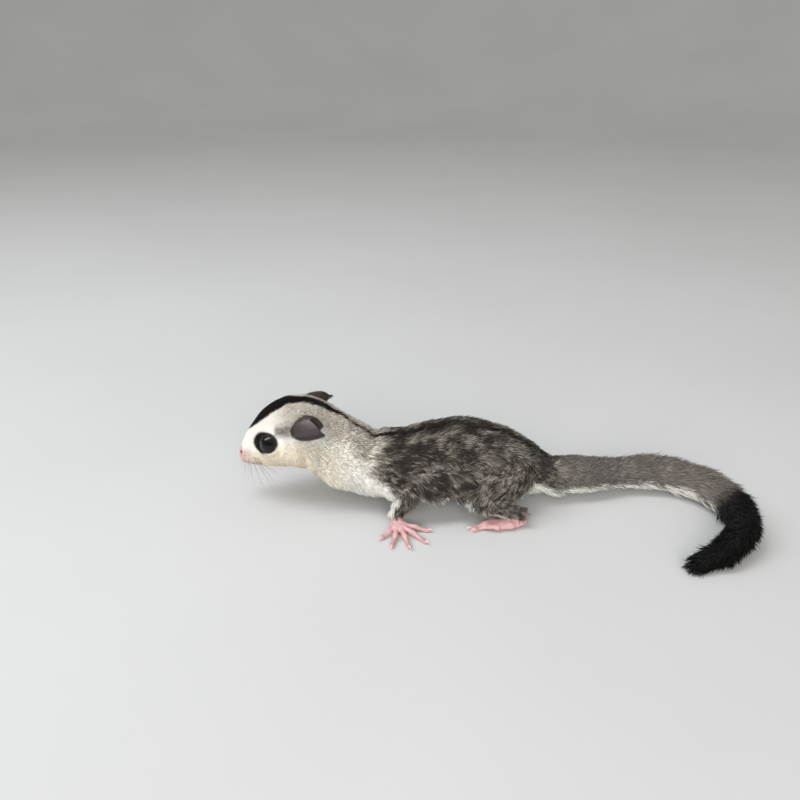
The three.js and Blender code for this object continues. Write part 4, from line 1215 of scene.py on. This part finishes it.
def make_ear(side, material):
    steps, rows = EAR_ACROSS, EAR_ALONG
    middle, normal, t, along, place = ear_sheet(side)
    half = ear_half_thickness(t, along)[..., None]
    points = np.vstack([(middle + sign * normal * half).reshape(-1, 3) for sign in (1, -1)])
    sheet = grid_faces(rows, steps, False)
    count = rows * steps
    numbers = np.arange(count).reshape(rows, steps)
    border = np.concatenate([numbers[0], numbers[1:, -1], numbers[-1, -2::-1], numbers[-2:0:-1, 0]])
    after = np.roll(border, -1)
    rim_faces = np.column_stack([border, border + count, after + count, after])
    faces = np.vstack([sheet, sheet[:, ::-1] + count, rim_faces])
    colour = ear_colour(t.reshape(-1), np.repeat(along, steps), place.reshape(-1))
    word = WORDS[side]
    marks = np.vstack([colour, colour])
    ear = make_piece(f"ear_skin_{word}", points, faces, material, "ear_skin", [f"ear_{word}"], coat=marks)
    face_outward(ear)
    return middle, normal, colour.reshape(rows, steps, 3)


EARS = {}
eye_look, ear_look = eye_material(), ear_material()
for side in SIDES:
    make_eye(side, eye_look)
    make_lid(side)
    EARS[side] = make_ear(side, ear_look)


# Claws and whiskers: thin tapered tubes along curves


def tube_mesh(lines, radii, sides):
    """Points and quads of closed tubes along lines that share one number of points and row of radii."""
    lines = np.asarray(lines)
    count, steps = lines.shape[:2]
    along = unit(np.gradient(lines, axis=1))
    level = np.where(np.abs(along[..., 2:]) > 0.9, (1.0, 0.0, 0.0), (0.0, 0.0, 1.0))
    across = unit(np.cross(along, level))
    up = np.cross(across, along)
    angles = 2 * np.pi * np.arange(sides) / sides
    ring = np.cos(angles)[:, None] * across[..., None, :] + np.sin(angles)[:, None] * up[..., None, :]
    points = lines[..., None, :] + radii[:, None, None] * ring
    caps = np.vstack([np.arange(sides)[::-1], (steps - 1) * sides + np.arange(sides)])
    offsets = np.arange(count)[:, None, None] * steps * sides
    quads = (grid_faces(steps, sides, True) + offsets).reshape(-1, 4)
    return points.reshape(-1, 3), [*quads, *(caps + offsets).reshape(-1, sides)]


# Stops of a claw's curve: how far each is ahead of the digit's last point and above it
CLAW_CURVE = ((-0.3, 0.3), (0.55, 0.55), (1.25, 0.35), (1.9, -0.25))
CLAW_RADIUS, CLAW_TIP = 0.4, 0.03
THUMB_TIP = 0.7  # a foot's digit that is thicker than this has no claw


def make_claws():
    lines = []
    for chain in chains:
        if chain.kind == "hand_digit" or (chain.kind == "foot_digit" and chain.radii[-1] < THUMB_TIP):
            tip, way = chain.points[-1], unit(chain.along[-1] * (1, 1, 0))
            lines.append(smooth_line([tip + out * way + (0, 0, up) for out, up in CLAW_CURVE], 5))
    radii = CLAW_RADIUS * (1 - np.linspace(0, 1, len(lines[0])) ** 1.6) + CLAW_TIP
    make_piece("claws", *tube_mesh(lines, radii, 8), horn_material(), "bare_skin")


def whisker_line(root, way, length, droop):
    t = np.linspace(0, 1, 12)[:, None]
    bend = np.array([0.25, 0, -1.0]) * droop * length
    line = root - 0.4 * way + way * length * t + bend * t**2
    line[:, 2] = np.maximum(line[:, 2], 0.4)
    return line


def make_whiskers():
    rng = np.random.default_rng(SEEDS["whiskers"])
    lines = []
    for side in SIDES:
        for row, k in np.ndindex(WHISKERS["rows"], WHISKERS["in_row"]):
            way = np.array([-0.15 + 0.28 * k, side * 0.95, 0.25 - 0.22 * row]) + 0.08 * rng.standard_normal(3)
            length = mix(*WHISKERS["length"], k / 4) * rng.uniform(0.85, 1.1)
            lines.append(whisker_line(whisker_root(side, row, k), unit(way), length, WHISKERS["droop"]))
        for x, angle, length in BROW_WHISKERS:
            way = unit(np.array([0.1, side * 0.8, 0.45]))
            lines.append(whisker_line(upper_point(x, angle, side), way, length, 0.2))
    thick, thin = WHISKERS["radii"]
    radii = thick * (1 - np.linspace(0, 1, 12)) ** 0.8 + thin
    make_piece("whiskers", *tube_mesh(lines, radii, 4), whisker_material(), "fur")


make_claws()
make_whiskers()


# Coat: tufts rooted all over the skin, flat against its lie and lifted a little

LENGTH = smooth_table([
    (0.7, 0.45), (4, 0.75), (8, 1.2), (12, 1.7), (17, 2.1), (22, 2.5), (28, 3.2), (33, 4.0),
    (40, 5.0), (55, 5.8), (90, 6.0), (105, 5.4), (118, 6.0),
])
# Length at the start and end of each part away from the trunk
PART_LENGTHS = (
    (("upper_arm",), 5.0, 3.6),
    (("forearm",), 3.2, 1.2),
    (("thigh",), 5.5, 4.2),
    (("shank",), 3.6, 1.1),
    (("membrane",), 3.6, 3.6),
    (("tail",), 6.0, 9.4),
    (PAWS, 1.0, 0.9),
)
# Lift of the tufts' feet from the skin, in degrees; the belly adds to its own
LIFT = {"face": 16, "body": 27, "belly": 7, "tail": 26, "joint": 10, "eye": 20, "ear": 38}
TIP_LIFT = {"body": 7.0, "tail": 9.0}
EAR_TUFT = 4.2  # length of the tuft behind the ear
LENGTH_SPREAD, LIFT_SPREAD, CURL = (0.78, 1.12), (-5, 7), 0.35
CLEARANCE = {"root": 0.35, "tuft": 0.06}  # least height over the ground
TUFT_WIDTH = {"least": 0.13, "most": 0.46, "base": 0.12, "by_length": 0.062}
ROOT_DEPTH = 0.12
# Tufts to a square millimetre of skin, for each region of the coat
DENSITY = {"face": 28, "head": 17, "neck": 9, "trunk": 5.8, "limb": 7.5, "membrane": 4, "tail": 8.5}
LONG_HAIRED = ("tail", "neck", "trunk")
MOST_TRIANGLES = 190000  # in one piece


def coat_region(part):
    region = np.full(len(part.s), "trunk", dtype="<U8")
    for name, end in (("neck", 46), ("head", 31), ("face", 15)):
        region[part.s < end] = name
    for name, kinds in (("limb", (*LIMBS, *PAWS)), ("membrane", ("membrane",)), ("tail", ("tail",))):
        region[part.share(*kinds) > 0.5] = name
    return region


def coat_shape(p, part):
    """Length, width, lift at the foot and lift at the tip of the tufts rooted at these points."""
    length = LENGTH(part.s)[:, 0] * (1 + 0.35 * ramp(part.rise, 0.2, -0.5) * ramp(part.s, 8, 20))
    belly = LIFT["belly"] * ramp(part.s, 10, 28) * ramp(part.rise, 0.2, -0.4)
    lift = mix(LIFT["face"], LIFT["body"], ramp(part.s, 6, 30)) + belly
    for kinds, start, end in PART_LENGTHS:
        share, place = part.share(*kinds), np.clip(part.place(*kinds), 0, 1)
        place = ramp(place, 0, 0.32) if kinds == ("tail",) else place
        length = mix(length, mix(start, end, place), share)
    tail = part.share("tail")
    length = mix(length, length * mix(1.0, 0.75, ramp(part.place("tail"), 0.75, 1.0)), tail)
    lift = mix(lift, LIFT["tail"], tail)
    joint = np.maximum(part.share("forearm") * ramp(part.place("forearm"), 0.6, 0.95),
                       part.share("shank") * ramp(part.place("shank"), 0.5, 0.9))
    lift = mix(lift, LIFT["joint"], joint)
    for side in SIDES:
        away, angle, rim, _ = eye_polar(p, side)
        near = ramp(away, 8.5, 5.0)
        length = mix(length, np.minimum(length, 0.55 + 1.1 * ramp(angle, rim + 10, rim + 45)), near)
        lift = mix(lift, LIFT["eye"], near)
        tuft = behind_ear(p, side)
        length, lift = mix(length, EAR_TUFT, tuft), mix(lift, LIFT["ear"], tuft)
    width = TUFT_WIDTH["base"] + TUFT_WIDTH["by_length"] * length
    width = np.clip(width, TUFT_WIDTH["least"], TUFT_WIDTH["most"])
    return length, width, lift, mix(TIP_LIFT["body"], TIP_LIFT["tail"], tail)


def along_skin(way, n):
    return unit(way - (way * n).sum(1, keepdims=True) * n)


def coat_way(p, n, part, rng):
    """Direction in which the tufts lie, along the skin."""
    way = part.way()
    way[:, 2] -= 0.4 * ramp(part.s, 12, 40) * ramp(np.abs(part.rise), 0.95, 0.4) * part.share("trunk")
    for side in SIDES:
        near = ramp(away_from(p, EYE_CENTER, side), 9.5, 4.5)
        way = way + 0.9 * near[:, None] * unit(p - on_side(EYE_CENTER, side))
    loose = (ramp(part.s, 12, 40) * (1 - 0.6 * part.share("tail")))[:, None]
    way = way + (0.3 + 0.55 * loose) * noise_vector(p, 3.2, 20)
    way = way + (0.2 + 0.4 * loose) * noise_vector(p, 1.1, 30)
    return along_skin(way + 0.14 * rng.standard_normal((len(p), 3)), n)


def sample_roots(rng):
    """Places on the skin, as triangle and weights of its corners, spread evenly by density."""
    centers = skin_points[skin_faces].mean(1)
    part = Part(centers)
    density = np.array([DENSITY[name] for name in coat_region(part)])
    density = density * (1 - bare_share(centers, part)) * (centers[:, 2] > CLEARANCE["root"])
    expected = np.cumsum(density * face_areas)
    count = int(expected[-1])
    triangle = np.searchsorted(expected, (np.arange(count) + rng.random(count)) * expected[-1] / count)
    a, b = rng.random((2, count))
    flip = a + b > 1
    a[flip], b[flip] = 1 - a[flip], 1 - b[flip]
    return triangle, np.column_stack([1 - a - b, a, b])


def tuft_mesh(p, n, way, length, width, foot_lift, tip_lift, curl, rings):
    """Tapered three-sided tufts: rings of corners along a line that bends down to the skin, and a tip."""
    across = np.cross(n, way)
    point = p - np.minimum(ROOT_DEPTH, 0.1 * length)[:, None] * n
    profile = np.interp(np.arange(rings) / rings, (0, 0.35, 1), (0.7, 1.0, 0.55))
    corners = []
    for k in range(rings):
        share = k / rings
        angle = np.radians(mix(foot_lift, tip_lift, share))[:, None]
        turned = unit(way + across * (curl * share)[:, None])
        direction = np.cos(angle) * turned + np.sin(angle) * n
        top = unit(n - (n * direction).sum(1, keepdims=True) * direction)
        side = np.cross(top, direction)
        half = (0.5 * width * profile[k])[:, None]
        corners += [point - side * half, point + side * half, point + top * half * 0.7]
        point = point + direction * (length / rings)[:, None]
    points = np.stack([*corners, point], axis=1)
    per, last = 3 * rings + 1, 3 * (rings - 1)
    rows = []
    for ring, k in np.ndindex(rings - 1, 3):
        a, b = 3 * ring + k, 3 * ring + (k + 1) % 3
        rows += [(a, b, b + 3), (a, b + 3, a + 3)]
    rows += [(last + k, last + (k + 1) % 3, per - 1) for k in range(3)]
    faces = (np.array(rows)[None] + (np.arange(len(p)) * per)[:, None, None]).reshape(-1, 3)
    along = np.concatenate([np.repeat(np.arange(rings) / rings, 3), [1.0]])
    return points.reshape(-1, 3), faces, along


# Charts of the coat's map: lower corner and size of each part's patch
CHARTS = {
    "trunk": (0.01, 0.45, 0.97, 0.53),
    "tail": (0.01, 0.30, 0.6, 0.13),
    "upper_arm": (0.01, 0.15, 0.2, 0.13),
    "forearm": (0.23, 0.15, 0.2, 0.13),
    "thigh": (0.45, 0.15, 0.25, 0.13),
    "shank": (0.72, 0.15, 0.2, 0.13),
    "ear": (0.45, 0.01, 0.4, 0.12),
}
PATCH = 0.003


def chart_place(p, part):
    """Place of each root on an unwrap of the skin: run along its part and angle round it."""
    x0, y0, wide, high = CHARTS["trunk"]
    around = np.arctan2(p[:, 1], part.h) / (2 * np.pi) + 0.5
    chart = np.column_stack([x0 + wide * np.clip(part.s / BODY_END, 0, 1), y0 + high * around])
    strongest = part.distances.argmin(0)
    for i, chain in enumerate(chains, 1):
        mine = strongest == i
        if chain.kind not in CHARTS or not mine.any():
            continue
        x0, y0, wide, high = CHARTS[chain.kind]
        place = part.places[i][mine]
        index = (place * (len(chain.points) - 1)).astype(int)
        off, along = p[mine] - chain.points[index], chain.along[index]
        across = unit(np.cross(along, (0.0, 0.0, 1.0)))
        angle = np.arctan2((off * np.cross(across, along)).sum(1), (off * across).sum(1)) / (2 * np.pi) + 0.5
        half = 0.5 if chain.side else 1.0
        around = angle * half + (0.5 if chain.side == RIGHT else 0.0)
        chart[mine] = np.column_stack([x0 + wide * place, y0 + high * around])
    return chart


def coat_piece(name, mesh, colour, shade, chart):
    """One object of tufts with their colours, shades and places on the map."""
    points, faces, along = mesh
    per, count = len(along), len(chart)
    marks = np.column_stack([np.repeat(shade, per), np.tile(along, count), np.zeros(len(points))])
    colour = np.repeat(colour, per, axis=0)
    coat = make_piece(name, points, faces, coat_look, "fur", coat=colour, tuft=marks)
    spread = np.column_stack([np.where(np.arange(per) % 3 == 1, 1.0, 0.0), along]) * PATCH
    uv = np.repeat(chart, per, axis=0) + np.tile(spread, (count, 1))
    layer = coat.data.uv_layers.new(name="OFBake")
    layer.data.foreach_set("uv", uv[faces.reshape(-1)].astype(np.float32).reshape(-1))


def build_ear_down(side, ear):
    """Very short fine hairs over both faces of an ear and along its rim."""
    rng = np.random.default_rng(SEEDS["ear_down"] + side)
    middle, normal, colour = ear
    rows, columns = middle.shape[:2]
    count = EAR_DOWN["count"] // 1
    r = rng.uniform(1, rows - 2, count)
    c = rng.uniform(4, columns - 1.2, count)
    c[rng.random(count) < EAR_DOWN["rim"]] = columns - 1.3
    i, j = r.astype(int), c.astype(int)
    u, v = (r - i)[:, None], (c - j)[:, None]
    p = mix(mix(middle[i, j], middle[i + 1, j], u), mix(middle[i, j + 1], middle[i + 1, j + 1], u), v)
    n = normal[i, j] * np.where(rng.random(count) < 0.7, 1, -1)[:, None]
    way = unit(0.9 * (middle[i + 1, j] - middle[i, j]) / 0.3 + (middle[i, j + 1] - middle[i, j]) / 0.3
               + 0.12 * rng.standard_normal((count, 3)))
    length = rng.uniform(*EAR_DOWN["length"], count)
    width, foot, tip, curl = (np.full(count, float(value)) for value in
                              (EAR_DOWN["width"], EAR_DOWN["foot"], EAR_DOWN["tip"], 0))
    mesh = tuft_mesh(p + n * 0.3, n, along_skin(way, n), length, width, foot, tip, curl, 2)
    # the hairs take the ear's colours, painted highlight included
    hair = mix(colour[i, j], LINEAR["neck_light"], 0.03 + 0.12 * rng.random(count)[:, None])
    x0, y0, wide, high = CHARTS["ear"]
    chart = np.column_stack([x0 + wide * (0.5 * (side == RIGHT) + 0.48 * r / rows), y0 + high * c / columns])
    coat_piece(f"ear_down_{WORDS[side]}", mesh, hair, rng.random(count), chart)


def build_coat():
    rng = np.random.default_rng(SEEDS["coat"])
    triangle, weights = sample_roots(rng)
    corners = skin_faces[triangle]
    p = (skin_points[corners] * weights[..., None]).sum(1)
    n = unit((skin_normals[corners] * weights[..., None]).sum(1))
    part = Part(p)
    region = coat_region(part)
    length, width, foot, tip = coat_shape(p, part)
    count = len(p)
    length = length * rng.uniform(*LENGTH_SPREAD, count)
    foot = foot + rng.uniform(*LIFT_SPREAD, count)
    curl = CURL * rng.standard_normal(count) * mix(0.4, 1.0, ramp(part.s, 10, 40))
    way = coat_way(p, n, part, rng)
    colour = coat_colour(p, n, part)
    shade = 0.6 * rng.random(count) + 0.4 * value_noise(p, 0.9, 40)
    chart = chart_place(p, part)
    for name in DENSITY:
        chosen = np.flatnonzero(region == name)
        rings = 3 if name in LONG_HAIRED else 2
        pieces = max(1, math.ceil(len(chosen) * (6 * rings - 3) / MOST_TRIANGLES))
        order = chosen[np.argsort(p[chosen, 0], kind="stable")]
        for k, rows in enumerate(np.array_split(order, pieces)):
            tufts = (values[rows] for values in (p, n, way, length, width, foot, tip, curl))
            points, faces, along = tuft_mesh(*tufts, rings)
            points[:, 2] = np.maximum(points[:, 2], CLEARANCE["tuft"])
            coat_piece(f"coat_{name}_{k + 1}", (points, faces, along), colour[rows], shade[rows], chart[rows])


build_coat()
for side in SIDES:
    build_ear_down(side, EARS[side])


# Camera at the photograph's angle: the nose tip is 290 mm away along the view and low left of the middle
CAMERA = {"tilt": 25.0, "from_nose": (59.657, -254.635, 140.131)}
LENS, SENSOR, CLIP = 35.0, 36, (0.01, 10)
# Floor and wall: the flat part's reach, the bend's radius and the wall's height
STUDIO = {"inner": 0.5, "near": 300, "flat": 1200.0, "bend": 1200.0, "high": 1900.0, "around": 96}
SKY = {"Color": (1.0, 0.99, 0.97, 1), "Strength": 0.58}
# Soft boxes: place in metres, turn in degrees, size in metres, watts, colour, and whether gloss shows them
LIGHTS = (
    ("key", (-0.45, -0.08, 0.72), (6, -32, 0), (0.8, 0.26), 5.0, (0.9, 0.945, 1.0), True),
    ("fill", (-0.1, -1.2, 0.56), (65, 0, 0), (1.2, 0.7), 15.5, (1.0, 0.98, 0.95), False),
)
scene = bpy.context.scene


def make_camera():
    data = bpy.data.cameras.new("camera")
    data.lens, data.sensor_width = LENS, SENSOR
    data.clip_start, data.clip_end = CLIP
    camera = bpy.data.objects.new("camera", data)
    camera.location = (np.array([0, 0, NOSE_HEIGHT]) + CAMERA["from_nose"] + SHIFT) * MM
    camera.rotation_euler = (math.radians(90 - CAMERA["tilt"]), 0, 0)
    scene.collection.objects.link(camera)
    scene.camera = camera


def make_floor():
    """A pale floor that curves up into a wall all round, so no edge of it shows."""
    flat, bend = STUDIO["flat"], STUDIO["bend"]
    turn = np.linspace(0, math.pi / 2, 14)
    profile = [(STUDIO["inner"], 0), (STUDIO["near"], 0), (flat, 0)]
    profile += [(flat + bend * math.sin(a), bend * (1 - math.cos(a))) for a in turn[1:]]
    profile.append((flat + bend, STUDIO["high"]))
    angles = whole_turn(STUDIO["around"])
    points = np.array([(r * math.cos(a), r * math.sin(a), z) for r, z in profile for a in angles]) - SHIFT
    faces = [*grid_faces(len(profile), len(angles), True), np.arange(len(angles))[::-1]]
    new_object("floor", points, faces, floor_material())


def make_light(name, place, turn, size, power, colour, in_gloss):
    """A soft box that shines straight down before it is turned."""
    data = bpy.data.lights.new(name, "AREA")
    data.shape, data.energy, data.color = "RECTANGLE", power, colour
    data.size, data.size_y = size
    light = bpy.data.objects.new(name, data)
    light.location = place
    light.rotation_euler = [math.radians(angle) for angle in turn]
    light.visible_glossy = in_gloss
    scene.collection.objects.link(light)


def make_sky():
    world = bpy.data.worlds.new("studio")
    scene.world = world
    world.use_nodes = True
    for name, value in SKY.items():
        world.node_tree.nodes["Background"].inputs[name].default_value = value


make_camera()
make_floor()
make_sky()
for light in LIGHTS:
    make_light(*light)
scene.view_settings.view_transform = "Standard"
